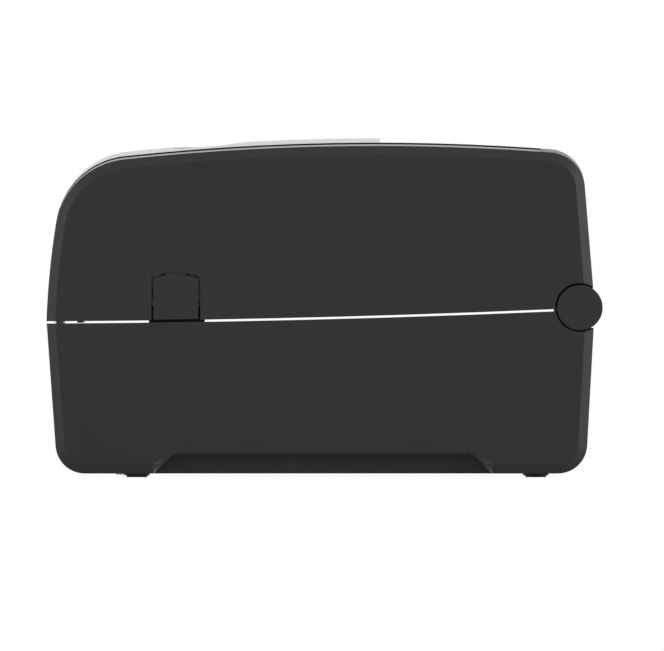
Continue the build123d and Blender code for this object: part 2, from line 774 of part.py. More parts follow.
def make_roll_holder():
    """Right roll holder: an upright plate with a foot rack that drives the pinion."""
    x0 = HOLDER_X
    x1 = HOLDER_X + HOLDER_T
    low = BAY_FLOOR_Z + HOLDER_LIFT
    top = ROLL_Z + HUB_R
    lean = HOLDER_HALF - HUB_R
    pts = [(ROLL_Y - HOLDER_HALF, low), (ROLL_Y + HOLDER_HALF, low),
           (ROLL_Y + HOLDER_HALF, ROLL_Z - lean), (ROLL_Y + HUB_R, top),
           (ROLL_Y - HUB_R, top), (ROLL_Y - HOLDER_HALF, ROLL_Z - lean)]
    face = make_face(Polyline(*pts, close=True))
    plate = across(face, x0, x1)
    plate -= rod_x(ROLL_Y, ROLL_Z, HUB_R / 2, x0, x1)
    pitch = math.pi * RACK_MODULE
    reach = PINION_TEETH * RACK_MODULE / 2
    row = rack(RACK_TEETH, RACK_MODULE, RACK_W)
    low_rack = BAY_FLOOR_Z + RACK_LIFT
    start = RACK_START * pitch
    bar = extrude(Pos(start, ROLL_Y - reach, low_rack) * row, amount=RACK_T)
    y1 = ROLL_Y - reach - TOOTH_ROOT * RACK_MODULE
    y0 = y1 - RACK_W
    bar += box(start + (RACK_TEETH - 0.5) * pitch, x1, y0, y1, low_rack, low_rack + RACK_T)
    foot = box(x0, x1, y0, y1, low_rack, low)
    return plate + bar + foot


def make_roll_hub():
    """Right hub that goes inside the roll's core, plugged into its holder."""
    hub = rod_x(ROLL_Y, ROLL_Z, HUB_R, HOLDER_X - HUB_LONG, HOLDER_X)
    hub = chamfer(hub.edges().group_by(Axis.X)[0], SHEET / 2)
    hub -= rod_x(ROLL_Y, ROLL_Z, HUB_R - SHEET, HOLDER_X - HUB_LONG, HOLDER_X - SHEET)
    return hub + rod_x(ROLL_Y, ROLL_Z, HUB_R / 2, HOLDER_X - SHEET, HOLDER_X + HOLDER_T)


def turn_about_roll(shape):
    """Half turn about the upright line through the pinion."""
    return Pos(0, ROLL_Y, 0) * Rot(0, 0, 180) * Pos(0, -ROLL_Y, 0) * shape


def make_holder_pinion():
    """Gear between the two racks, free on the pin of the bay floor."""
    wheel = gear(PINION_TEETH, RACK_MODULE, -90)
    low = BAY_FLOOR_Z + RACK_LIFT
    wheel = extrude(Pos(0, ROLL_Y, low) * wheel, amount=RACK_T)
    return wheel - rod_z(0, ROLL_Y, PINION_PIN_R + RUN, 0, FAR)


def make_label_guide():
    """Right edge guide on the label deck."""
    rail = across(split_slab(-DECK_DROP + PLAY, -DECK_DROP + GUIDE_TALL), GUIDE_X,
                  GUIDE_X + GUIDE_T)
    wing = across(split_slab(-DECK_DROP + PLAY, -DECK_DROP + PLAY + GUIDE_T / 2),
                  GUIDE_X - 2 * GUIDE_T, GUIDE_X)
    room = box(0, FAR, GUIDE_FRONT_Y, GUIDE_BACK_Y, 0, FAR)
    return (rail + wing) & room


def sensor_rod_z():
    """Height of the sensor's rod, under the label deck."""
    return deck_z(DECK_SLOT_Y) - SHEET - SENSOR_TALL / 2


def make_sensor_rod():
    """Rod under the deck that the label sensor slides on, with its two hangers."""
    z = sensor_rod_z()
    outer = BAY_HALF_W - 2 * PLAY - SHEET
    rod = rod_x(DECK_SLOT_Y, z, SENSOR_ROD_R, -outer, outer)
    top = deck_z(DECK_SLOT_Y) - SHEET - PLAY
    for x in (-outer, outer - SHEET):
        rod += box(x, x + SHEET, DECK_SLOT_Y - 2 * SHEET, DECK_SLOT_Y + 2 * SHEET,
                   z - 2 * SHEET, top)
    return rod


def make_label_sensor():
    """Sensor block on its rod, looking up through the slot in the deck."""
    z = sensor_rod_z()
    half = SENSOR_HALF_W
    wide = DECK_SLOT_W / 2 - 2 * PLAY
    block = box(-half, half, DECK_SLOT_Y - wide, DECK_SLOT_Y + wide, z - SENSOR_TALL / 2,
                deck_z(DECK_SLOT_Y) - PLAY)
    return block - rod_x(DECK_SLOT_Y, z, SENSOR_ROD_R + RUN, -FAR, FAR)


def make_main_board():
    """Upright circuit board beside the media bay, with its chips and capacitors."""
    y0 = BOARD_Y[0]
    z0 = BOARD_Z[0]
    parts = [box(BOARD_X, BOARD_X + BOARD_T, y0, BOARD_Y[1], z0, BOARD_Z[1])]
    for along, up, wide, tall, thick in CHIPS:
        parts.append(box(BOARD_X - thick, BOARD_X, y0 + along, y0 + along + wide,
                         z0 + up, z0 + up + tall))
    for along, up in CANS:
        parts.append(rod_x(y0 + along, z0 + up, CAN_R, BOARD_X - CAN_LONG, BOARD_X))
    return parts


def make_socket(name):
    """One rear socket, from the board to the rear wall, with its mouth."""
    x0, x1, z0, z1 = socket_places()[name]
    face = BASE_REAR_LOW + BASE_REAR_LEAN * (z0 - BASE_BOTTOM)
    front = face - OVER
    body = box(x0, x1, front, face, z0, z1)
    rim = SOCKET_FACE
    mouth = SOCKET_MOUTH
    if name == "dc_inlet":
        middle = ((x0 + x1) / 2, (z0 + z1) / 2)
        body -= rod_y(*middle, DC_W / 3, face - mouth, face)
        return body + rod_y(*middle, SOCKET_FACE, face - mouth, face - SOCKET_FACE)
    if name == "serial_socket":
        tongue = box(x0 - OVER, x0 + rim, face - mouth / 2, face, z0 - OVER, z1 + OVER)
        frame = box(x0 + rim, x1 - rim, face - mouth / 2, face, z0 + 4 * rim, z1 - 4 * rim)
        body -= box(x0, x1, face - mouth / 2, face, z0, z1) - frame
        return body - tongue
    return body - box(x0 + rim, x1 - rim, face - mouth, face, z0 + rim, z1 - rim)


def switch_face():
    """Depth of the rear wall's outer face at the switch."""
    return BASE_REAR_LOW + BASE_REAR_LEAN * (SWITCH_Z - BASE_BOTTOM)


def make_switch_housing():
    """Frame of the power switch, flush in the rear wall, with its flange behind the wall."""
    y = switch_face()
    w = SWITCH_W / 2 - PLAY
    h = SWITCH_H / 2 - PLAY
    rim = SWITCH_RIM
    body = box(SWITCH_X - w, SWITCH_X + w, y - SWITCH_DEEP, y + OVER, SWITCH_Z - h, SWITCH_Z + h)
    body &= across(base_outline(), SWITCH_X - w, SWITCH_X + w)
    y1 = y - WALL - PLAY - SWITCH_H * BASE_REAR_LEAN
    flange = box(SWITCH_X - w - rim, SWITCH_X + w + rim, y1 - rim, y1, SWITCH_Z - h - rim,
                 SWITCH_Z + h + rim)
    wall = SWITCH_WALL
    room = box(SWITCH_X - w + wall, SWITCH_X + w - wall, y - SWITCH_DEEP + wall, y + OVER,
               SWITCH_Z - h + wall, SWITCH_Z + h - wall)
    bore = rod_x(y - ROCKER_SINK, SWITCH_Z, ROCKER_PIN_R + RUN, SWITCH_X - w, SWITCH_X + w)
    return body + flange - room - bore


def make_power_rocker():
    """Rocker with a shallow V face, pressed in at one end."""
    y = switch_face() - ROCKER_SINK
    w = SWITCH_W / 2 - SWITCH_WALL - 2 * PLAY
    h = SWITCH_H / 2 - SWITCH_WALL - 4 * PLAY
    rise = SWITCH_RIM + SWITCH_RIM / 2
    pts = [(-SWITCH_RIM, -h), (rise, -h), (rise / 2, 0), (rise, h), (-SWITCH_RIM, h)]
    face = Rot(0, 0, -ROCKER_TILT) * make_face(Polyline(*pts, close=True))
    pin_end = SWITCH_W / 2 - 2 * PLAY
    pin = rod_x(y, SWITCH_Z, ROCKER_PIN_R, SWITCH_X - pin_end, SWITCH_X + pin_end)
    return across(Pos(y, SWITCH_Z) * face, SWITCH_X - w, SWITCH_X + w) + pin


def make_hinge_knuckle():
    """Right end of the hinge barrel, on its bracket inside the base."""
    barrel = rod_x(HINGE_Y, HINGE_Z, BARREL_R, KNUCKLE_IN, BARREL_END)
    arm = box(KNUCKLE_IN, INNER_X - 2 * PLAY, HINGE_Y - BARREL_R, HINGE_Y + BARREL_R,
              OUTLINE_LOW, HINGE_Z)
    arm = arm & across(offset(base_outline(), amount=-WALL - PLAY), 0, FAR)
    knuckle = barrel + arm
    knuckle = chamfer(knuckle.edges().group_by(Axis.X)[-1], KNOB_EDGE)
    return knuckle - rod_x(HINGE_Y, HINGE_Z, ROD_R, 0, HALF_W - WALL)


def make_hinge_rod():
    """Steel rod through the whole hinge."""
    end = HALF_W - WALL - PLAY
    return rod_x(HINGE_Y, HINGE_Z, ROD_R, -end, end)


def crown_z(y):
    """Height of the lid outline's crown at a depth."""
    arc = ThreePointArc(LID_FRONT[2], LID_CROWN, LID_REAR[0])
    middle = arc.arc_center
    return middle.Y + math.sqrt(arc.radius ** 2 - (y - middle.X) ** 2)


def cover_form():
    """Solid under the crowned middle of the lid."""
    rises = [(-COVER_HALF_W, 0.0), (0.0, CROWN), (COVER_HALF_W, 0.0)]
    sections = [Pos(x, 0, 0) * (Plane.YZ * lid_outline(FRAME_RIM + rise)) for x, rise in rises]
    form = loft(sections)
    centre_z = crown_z(VALLEY_Y) + FRAME_RIM + CROWN - VALLEY_DEEP + VALLEY_R
    return form - rod_x(VALLEY_Y, centre_z, VALLEY_R, -HALF_W, HALF_W)


def under_cover():
    """Lid form below the seats of the cover and the tail cap."""
    return across(offset(lid_outline(FRAME_RIM), amount=-COVER_T), -HALF_W, HALF_W)


def cover_room(gap=0.0):
    """Space of the cover."""
    half = COVER_HALF_W + gap
    return box(-half, half, -FAR, COVER_BACK_Y + gap, COVER_LOW_Z - gap, FAR)


def tail_room(gap=0.0):
    """Space of the tail cap."""
    half = COVER_HALF_W + gap
    return box(-half, half, TAIL_CAP_Y - gap, FAR, TAIL_CAP_LOW_Z - gap, FAR)


def window_room(grow=0.0):
    """Space of the window, or of the hole under it."""
    half = WINDOW_HALF_W + grow
    return box(-half, half, WINDOW_FRONT_Y - grow, WINDOW_BACK_Y + grow, HINGE_Z, FAR)


def button_hole():
    """Hole for the feed button through cover and frame."""
    hole = rod_z(BUTTON_X, VALLEY_Y, BUTTON_R + PLAY, HINGE_Z, FAR)
    for x in LENS_X:
        hole += rod_z(x, VALLEY_Y, LENS_R + RUN, HINGE_Z, FAR)
    return hole


def frame_under_z(y):
    """Height of the lid frame's inner face under the crown, at a depth."""
    return crown_z(y) + FRAME_RIM - FRAME_WALL


def make_lid_frame():
    """Channel that runs round the front, top and rear of the lid."""
    frame = across(lid_outline(FRAME_RIM), -PANEL_IN, PANEL_IN)
    frame -= across(offset(lid_outline(FRAME_RIM), amount=-FRAME_WALL), -HALF_W, HALF_W)
    frame = frame & above_split()
    frame -= cover_room(PLAY) - under_cover()
    frame -= tail_room(PLAY) - under_cover()
    frame -= box(-HALF_W, HALF_W, TAIL_CAP_Y, FAR, 0, FAR) - across(lid_outline(), -HALF_W, HALF_W)
    glass_seat = offset(lid_outline(FRAME_RIM), amount=-WINDOW_SINK - WINDOW_T)
    frame -= window_room(PLAY) - across(glass_seat, -HALF_W, HALF_W)
    frame -= window_room(-WINDOW_LEDGE)
    frame -= button_hole()
    frame -= box(-MOUTH_HALF, MOUTH_HALF, -FAR, PLATEN_Y, 0, split_z(PLATEN_Y) + MOUTH_TALL)
    frame -= socket()
    for dy in (-BUTTON_POST, BUTTON_POST):
        frame += rod_z(BUTTON_X, VALLEY_Y + dy, SCREW_HEAD_R, button_board_z() + BOARD_T,
                       frame_under_z(VALLEY_Y + dy - SCREW_HEAD_R) + SHEET / 2)
    return frame


def make_top_cover():
    """Pale crowned cover over the front half of the lid and down its front."""
    return (cover_form() & cover_room()) - under_cover() - button_hole()


def make_tail_cap():
    """Silver cap over the lid's rear top corner."""
    cap = across(lid_outline(TAIL_CAP_RISE), -COVER_HALF_W, COVER_HALF_W)
    return (cap & tail_room()) - under_cover()


def make_window():
    """Tinted window over the media roll, sunk below the rim."""
    upper = across(offset(lid_outline(FRAME_RIM), amount=-WINDOW_SINK), -HALF_W, HALF_W)
    lower = offset(lid_outline(FRAME_RIM), amount=-WINDOW_SINK - WINDOW_T)
    return (upper - across(lower, -HALF_W, HALF_W)) & window_room()


def trim_band():
    """Side view of the trim and of its seat in the side panel."""
    band = lid_outline(TRIM_RISE) - offset(lid_outline(), amount=-TRIM_SEAT)
    keep = Pos((TRIM_Y[0] + TRIM_Y[1]) / 2, TRIM_LOW_Z + OVER) * Rectangle(
        TRIM_Y[1] - TRIM_Y[0], 2 * OVER)
    return band & keep


def make_edge_trim():
    """Right silver strip along the top edge of the side panel."""
    return across(trim_band(), PANEL_IN, HALF_W - BEVEL_DEEP)


def tab_outline(slit=0.0, run=0.0):
    """Side view of the release tab up to its pin, or of its hole in the panel."""
    side = TAB_HALF + slit
    neck = TAB_NECK_HALF + run
    corner = TAB_CORNER_Z + slit
    pts = [(side, OUTLINE_LOW), (side, corner), (neck, corner + TAB_SHOULDER_RISE),
           (neck, TAB_PIN_Z)]
    pts += [(-y, z) for y, z in reversed(pts)]
    return make_face(Polyline(*[(TAB_Y + y, z) for y, z in pts], close=True))


def tab_pivot(run=0.0):
    """Round top of the tab's neck with its pin, or their room in the panel."""
    half = TAB_NECK_HALF + run
    reach = half + TAB_PIN_LONG
    neck = rod_y(TAB_PIN_X, TAB_PIN_Z, TAB_T / 2 + run, TAB_Y - half, TAB_Y + half)
    return neck + rod_y(TAB_PIN_X, TAB_PIN_Z, TAB_PIN_R + run, TAB_Y - reach, TAB_Y + reach)


def make_side_panel():
    """Right side of the lid, a shallow pan with a bevelled edge and the tab's slot."""
    panel = bevelled(across(lid_outline(), PANEL_IN, HALF_W), 1)
    pocket = offset(lid_outline(), amount=-PANEL_RIM)
    panel -= across(pocket, PANEL_IN, HALF_W - PANEL_SKIN)
    panel -= make_edge_trim()
    panel -= across(tab_outline(TAB_SLIT, RUN), 0, FAR) + tab_pivot(RUN)
    panel = panel & above_split()
    return panel - socket()


def make_release_tab():
    """Right release tab with its arm and the latch hook."""
    x1 = HALF_W - TAB_SINK
    x0 = x1 - TAB_T
    tab = across(tab_outline(), x0, x1) & above_split(HALF_GAP + PLAY)
    tab += box(HOOK_X[0], x0, TAB_Y - ARM_HALF, TAB_Y + ARM_HALF, *ARM_Z)
    tab += box(HOOK_X[0], HOOK_X[1], TAB_Y - HOOK_HALF, TAB_Y + HOOK_HALF, HOOK_LOW_Z, ARM_Z[1])
    tab += box(HOOK_X[1], HOOK_X[1] + HOOK_NOSE, TAB_Y - HOOK_HALF, TAB_Y + HOOK_HALF, *NOSE_Z)
    return tab + tab_pivot()


def knuckle_pad(end):
    """Thicker upper front part of the lid's barrel, which closes the gap round it."""
    far = 2 * SOCKET_R
    turns = [math.radians(turn) for turn in KNUCKLE_PAD]
    wedge = [(0, 0)] + [(far * math.cos(turn), far * math.sin(turn)) for turn in turns]
    face = make_face(Polyline(*wedge, close=True)) & Circle(SOCKET_R - RUN)
    return across(Pos(HINGE_Y, HINGE_Z) * face, -end, end)


def make_lid_knuckle():
    """Middle of the hinge barrel, with the bar that joins it to the lid's rear wall."""
    end = KNUCKLE_IN - PLAY
    barrel = rod_x(HINGE_Y, HINGE_Z, BARREL_R, -end, end) + knuckle_pad(end)
    bar = box(-end, end, HINGE_Y - BARREL_R / 2, FAR, HINGE_Z, HINGE_Z + 2 * BARREL_R)
    bar = bar & across(offset(lid_outline(FRAME_RIM), amount=-FRAME_WALL), -end, end)
    return barrel + bar - rod_x(HINGE_Y, HINGE_Z, ROD_R + RUN, -HALF_W, HALF_W)


def button_seat_z():
    """Height of the feed button's flange, just under the lid frame."""
    return frame_under_z(VALLEY_Y - BUTTON_R - BUTTON_FLANGE) - PLAY


def button_board_z():
    """Underside of the small board below the feed button."""
    return button_seat_z() - BUTTON_FLANGE - BUTTON_STEM - BUTTON_TRAVEL - PLAY - BOARD_T


def make_feed_button():
    """Round button in the valley of the cover, held by its flange under the frame."""
    under = button_seat_z()
    button = rod_z(BUTTON_X, VALLEY_Y, BUTTON_R, under, FAR) & (Pos(0, 0, -PLAY) * cover_form())
    button += rod_z(BUTTON_X, VALLEY_Y, BUTTON_R + BUTTON_FLANGE, under - BUTTON_FLANGE, under)
    return button + rod_z(BUTTON_X, VALLEY_Y, BUTTON_STEM, under - BUTTON_FLANGE - BUTTON_STEM,
                          under)


def make_button_board():
    """Small board on two posts of the lid frame."""
    z = button_board_z()
    reach = BUTTON_POST + SCREW_HEAD_R
    return box(LENS_X[0] - LENS_R, BUTTON_X + BUTTON_R, VALLEY_Y - reach, VALLEY_Y + reach,
               z, z + BOARD_T)


def make_status_lenses():
    """Two light pipes from the small board to the cover."""
    low = button_board_z() + BOARD_T
    return [rod_z(x, VALLEY_Y, LENS_R, low, FAR) & cover_form() for x in LENS_X]


def make_carriage_plates():
    """Two steel plates that carry the ribbon spindles and the print head."""
    face = Pos((CARRIAGE_Y[0] + CARRIAGE_Y[1]) / 2, (CARRIAGE_Z[0] + CARRIAGE_Z[1]) / 2) * (
        RectangleRounded(CARRIAGE_Y[1] - CARRIAGE_Y[0], CARRIAGE_Z[1] - CARRIAGE_Z[0], SPINDLE_R))
    face -= [Pos(y, z) * Circle(SPINDLE_SHAFT_R + RUN) for y, z in
             ((SUPPLY_Y, SUPPLY_Z), (TAKEUP_Y, TAKEUP_Z))]
    face -= [Pos(y, z) * Circle(BAR_R) for y, z in BAR_PLACES]
    face -= Pos(HEAD_PIVOT_Y, HEAD_PIVOT_Z) * Circle(HEAD_PIVOT_R)
    return both_sides(across(face, *CARRIAGE_X))


def make_carriage_bars():
    """Cross bars from side panel to side panel, and the print head's pivot rod."""
    end = HALF_W - PANEL_SKIN
    bars = [rod_x(y, z, BAR_R, -end, end) for y, z in BAR_PLACES]
    bars.append(rod_x(HEAD_PIVOT_Y, HEAD_PIVOT_Z, HEAD_PIVOT_R, -CARRIAGE_X[1], CARRIAGE_X[1]))
    return bars


def make_spindle(y, z, left):
    """Finned ribbon spindle with a flange at its left end."""
    end = CARRIAGE_X[0] - PLAY
    body = rod_x(y, z, SPINDLE_R, -end, end)
    for turn in range(0, 180, 60):
        fin = Rot(0, 0, turn) * Rectangle(2 * (SPINDLE_R + SPINDLE_FIN), SPINDLE_FIN)
        body += across(Pos(y, z) * fin, -end, end)
    body += rod_x(y, z, SPINDLE_FLANGE_R, -end, -end + SHEET)
    return body + rod_x(y, z, SPINDLE_SHAFT_R, left, CARRIAGE_X[1] + SHEET)


def ribbon_motor_place():
    """Centre of the ribbon motor in the side view."""
    reach = (TAKEUP_TEETH + RIBBON_TEETH) * GEAR_MODULE / 2
    return place_at(TAKEUP_Y, TAKEUP_Z, RIBBON_TURN, reach)


def make_takeup_gear():
    """Gear on the left end of the take-up spindle."""
    wheel = Pos(TAKEUP_Y, TAKEUP_Z) * gear(TAKEUP_TEETH, GEAR_MODULE, RIBBON_TURN)
    wheel = across(wheel, *RIBBON_GEAR_X)
    return wheel - rod_x(TAKEUP_Y, TAKEUP_Z, SPINDLE_SHAFT_R, -HALF_W, HALF_W)


def make_ribbon_pinion():
    """Small gear and shaft of the ribbon motor."""
    y, z = ribbon_motor_place()
    turn = RIBBON_TURN + 180 + 180 / RIBBON_TEETH
    wheel = across(Pos(y, z) * gear(RIBBON_TEETH, GEAR_MODULE, turn), *RIBBON_GEAR_X)
    return wheel + rod_x(y, z, MOTOR_SHAFT_R, RIBBON_GEAR_X[0] - SHEET, RIBBON_GEAR_X[0])


def make_ribbon_motor():
    """Round motor between the ribbon gears and the left side panel."""
    y, z = ribbon_motor_place()
    x1 = RIBBON_GEAR_X[0] - SHEET
    return rod_x(y, z, RIBBON_MOTOR_R, -HALF_W + PANEL_SKIN, x1)


def make_print_head():
    """Ceramic print line on its block, over the top of the platen."""
    half = HEAD_LIP_W / 2
    block = box(-HEAD_HALF, HEAD_HALF, HEAD_FRONT_Y, HEAD_PIVOT_Y - BAR_R * 2, HEAD_LOW_Z, SINK_Z)
    top_z = PLATEN_Z + PLATEN_R + PLAY
    lip = box(-HEAD_HALF, HEAD_HALF, PLATEN_Y - half, PLATEN_Y + half, top_z, HEAD_LOW_Z)
    return block + lip


def make_heat_sink():
    """Finned aluminium block on the print head."""
    y1 = HEAD_PIVOT_Y - BAR_R * 2
    sink = box(-HEAD_HALF, HEAD_HALF, HEAD_FRONT_Y, y1, SINK_Z, SINK_Z + 3 * SHEET)
    pitch = 2 * SHEET
    rows = int((y1 - HEAD_FRONT_Y - SHEET) / pitch)
    for i in range(rows):
        y = HEAD_FRONT_Y + SHEET + i * pitch
        sink -= box(-HEAD_HALF, HEAD_HALF, y, y + SHEET, SINK_Z + SHEET, SINK_Z + 3 * SHEET)
    return sink


def make_head_bracket():
    """Bent steel bracket from the pivot rod to the top of the heat sink."""
    top = SINK_Z + 3 * SHEET
    plate = box(-HEAD_HALF, HEAD_HALF, HEAD_FRONT_Y, HEAD_PIVOT_Y, top, top + BRACKET_T)
    for x in (-HEAD_HALF, HEAD_HALF - BRACKET_T):
        plate += box(x, x + BRACKET_T, HEAD_PIVOT_Y - 2 * HEAD_PIVOT_R,
                     HEAD_PIVOT_Y + 2 * HEAD_PIVOT_R, HEAD_PIVOT_Z - 2 * HEAD_PIVOT_R, top)
    return plate - rod_x(HEAD_PIVOT_Y, HEAD_PIVOT_Z, HEAD_PIVOT_R + RUN, -HALF_W, HALF_W)


def make_spring_beam():
    """Cross beam between the carriage plates, over the head springs."""
    x = CARRIAGE_X[0]
    return box(-x, x, SPRING_Y - 2 * SPRING_R, SPRING_Y + SPRING_R, SPRING_TOP_Z,
               SPRING_TOP_Z + BRACKET_T)


def make_head_springs():
    """Two springs that press the head bracket down."""
    low = SINK_Z + 3 * SHEET + BRACKET_T
    springs = []
    for x in (-SPRING_X, SPRING_X):
        coil = rod_z(x, SPRING_Y, SPRING_R, low, SPRING_TOP_Z)
        springs.append(coil - rod_z(x, SPRING_Y, SPRING_R - 1, low, SPRING_TOP_Z))
    return springs


save(make_base_shell(), "base_shell")
save(make_bottom_plate(), "bottom_plate")
save(make_feet(), "rubber_feet")
save(make_bay_liner(), "bay_liner")
save(make_label_deck(), "label_deck")
save(make_front_bezel(), "front_bezel")
save(make_tear_bar(), "tear_bar")
save([make_side_plate(-1), make_side_plate(1)], "platen_side_plates")
save(make_platen_bushes(), "platen_bushes")
for piece, name in zip(make_platen(), ["platen_roller", "platen_shaft", "platen_gear"]):
    save(piece, name)
save(make_idler_gear(), "idler_gear")
save(make_motor_pinion(), "motor_pinion")
save(make_feed_motor(), "feed_motor")
save(make_roll_holder(), "roll_holder_right")
save(turn_about_roll(make_roll_holder()), "roll_holder_left")
save(make_roll_hub(), "roll_hub_right")
save(turn_about_roll(make_roll_hub()), "roll_hub_left")
save(make_holder_pinion(), "holder_pinion")
for guide, side in zip(both_sides(make_label_guide()), ["right", "left"]):
    save(guide, "label_guide_" + side)
save(make_sensor_rod(), "sensor_rod")
save(make_label_sensor(), "label_sensor")
save(make_main_board(), "main_board")
for place in socket_places():
    save(make_socket(place), place)
save(make_switch_housing(), "switch_housing")
save(make_power_rocker(), "power_rocker")
save(both_sides(make_hinge_knuckle()), "hinge_ends")
save(make_hinge_rod(), "hinge_rod")
save(make_base_screws(), "base_screws")
save(make_lid_frame(), "lid_frame")
for panel, side in zip(both_sides(make_side_panel()), ["right", "left"]):
    save(panel, "side_panel_" + side)
save(both_sides(make_edge_trim()), "edge_trims")
save(make_top_cover(), "top_cover")
save(make_tail_cap(), "tail_cap")
save(make_window(), "media_window")
for tab, side in zip(both_sides(make_release_tab()), ["right", "left"]):
    save(tab, "release_tab_" + side)
save(make_lid_knuckle(), "lid_knuckle")
save(make_feed_button(), "feed_button")
save(make_button_board(), "button_board")
save(make_status_lenses(), "status_lenses")
save(make_carriage_plates() + [make_spring_beam()], "carriage_plates")
save(make_carriage_bars(), "carriage_bars")
save(make_spindle(SUPPLY_Y, SUPPLY_Z, -CARRIAGE_X[1] - SHEET), "supply_spindle")
save(make_spindle(TAKEUP_Y, TAKEUP_Z, RIBBON_GEAR_X[0]), "takeup_spindle")
save(make_takeup_gear(), "takeup_gear")
save(make_ribbon_pinion(), "ribbon_pinion")
save(make_ribbon_motor(), "ribbon_motor")
save(make_print_head(), "print_head")
save(make_heat_sink(), "heat_sink")
save(make_head_bracket(), "head_bracket")
save(make_head_springs(), "head_springs")
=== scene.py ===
"""Finishes and fine pieces of a desktop label printer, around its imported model.

Metres. The front is at -Y, the top at +Z and the photographed side at +X.
"""
import json
import math

import bpy
import numpy as np
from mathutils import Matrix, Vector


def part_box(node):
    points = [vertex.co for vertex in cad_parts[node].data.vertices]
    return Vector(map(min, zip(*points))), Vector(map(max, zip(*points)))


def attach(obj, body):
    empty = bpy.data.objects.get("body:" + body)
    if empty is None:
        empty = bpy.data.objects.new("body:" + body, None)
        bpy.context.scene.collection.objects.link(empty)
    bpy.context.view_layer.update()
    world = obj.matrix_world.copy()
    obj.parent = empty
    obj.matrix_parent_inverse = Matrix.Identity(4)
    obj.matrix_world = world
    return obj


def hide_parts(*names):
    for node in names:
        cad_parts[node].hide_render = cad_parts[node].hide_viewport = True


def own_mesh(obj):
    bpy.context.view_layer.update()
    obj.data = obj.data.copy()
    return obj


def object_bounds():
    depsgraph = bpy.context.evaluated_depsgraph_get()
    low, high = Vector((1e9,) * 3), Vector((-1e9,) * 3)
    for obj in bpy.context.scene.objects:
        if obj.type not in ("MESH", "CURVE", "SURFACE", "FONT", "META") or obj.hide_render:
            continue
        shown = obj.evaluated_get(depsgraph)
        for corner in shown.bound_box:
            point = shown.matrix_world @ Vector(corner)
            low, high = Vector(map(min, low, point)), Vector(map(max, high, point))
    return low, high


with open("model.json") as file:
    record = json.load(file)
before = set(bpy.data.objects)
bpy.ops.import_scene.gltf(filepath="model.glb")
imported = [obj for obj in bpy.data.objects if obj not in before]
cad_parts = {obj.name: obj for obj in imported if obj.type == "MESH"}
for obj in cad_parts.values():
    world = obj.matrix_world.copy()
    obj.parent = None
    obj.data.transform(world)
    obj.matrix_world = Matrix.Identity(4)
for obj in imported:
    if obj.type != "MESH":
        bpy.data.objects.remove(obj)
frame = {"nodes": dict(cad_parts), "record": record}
CAD_BOX = [list(corner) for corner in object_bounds()]

bl_info = {
    "name": "Label printer",
    "version": (1, 0, 0),
    "blender": (4, 5, 0),
    "location": "3D View > Sidebar > Printer",
    "description": "Finishes and fine pieces of a desktop label printer",
    "category": "Object",
}

MM = 0.001
RECORD_SLOTS = {part["node"]: part["material_slot"] for part in frame["record"]["subparts"]}
EVEN = (1.0, 1.0, 1.0)
WHITE = (1.0, 1.0, 1.0, 1.0)
TURN_STEPS = 24
DECK_MIDDLE_Y = 13.0 * MM
DECK_MIDDLE_Z = 73.5 * MM
DECK_SLOPE = 0.0277
DECK_BEND = 0.149


class PrinterFinish(bpy.types.PropertyGroup):
    """Colours and surface sizes of the printer's materials."""

    case_colour: bpy.props.FloatVectorProperty(
        name="Charcoal", description="Charcoal plastic of base and side panels",
        subtype="COLOR", size=3, min=0.0, max=1.0, default=(0.026, 0.026, 0.0268))
    frame_colour: bpy.props.FloatVectorProperty(
        name="Lid frame", description="Dark plastic of the lid's rim and the hinge",
        subtype="COLOR", size=3, min=0.0, max=1.0, default=(0.008, 0.008, 0.0084))
    # The cover and the trim with the tail cap are one pale plastic: the cover colour is its lit
    # copy, painted light from above, and the trim colour its darker shaded copy, painted shade.
    cover_lit_colour: bpy.props.FloatVectorProperty(
        name="Cover", description="Pale plastic of the crowned cover",
        subtype="COLOR", size=3, min=0.0, max=1.0, default=(0.60, 0.60, 0.61))
    trim_shaded_colour: bpy.props.FloatVectorProperty(
        name="Trim", description="Silver paint of the edge trims and the tail cap",
        subtype="COLOR", size=3, min=0.0, max=1.0, default=(0.50, 0.50, 0.51))
    grain: bpy.props.FloatProperty(
        name="Grain", description="Width of one grain of the moulded texture",
        unit="LENGTH", min=0.0001, max=0.002, default=0.00042)
    edge_radius: bpy.props.FloatProperty(
        name="Edge radius", description="Rounding of moulded edges where light catches",
        unit="LENGTH", min=0.0, max=0.002, default=0.00035)


class PrinterPieces(bpy.types.PropertyGroup):
    """Sizes of the pieces that are added to the model."""

    spring_turns: bpy.props.IntProperty(
        name="Spring turns", description="Turns of each print head spring",
        min=3, max=12, default=6)
    spring_wire: bpy.props.FloatProperty(
        name="Spring wire", description="Diameter of the spring wire",
        unit="LENGTH", min=0.0003, max=0.0015, default=0.0007)
    tick_pitch: bpy.props.FloatProperty(
        name="Tick pitch", description="Distance between the width marks on the label deck",
        unit="LENGTH", min=0.002, max=0.02, default=0.005)
    tick_line: bpy.props.FloatProperty(
        name="Tick line", description="Line width of the width marks",
        unit="LENGTH", min=0.0002, max=0.0015, default=0.0004)
    recess_depth: bpy.props.FloatProperty(
        name="Screw recess", description="Depth of the cross recess in a screw head",
        unit="LENGTH", min=0.0002, max=0.001, default=0.0006)


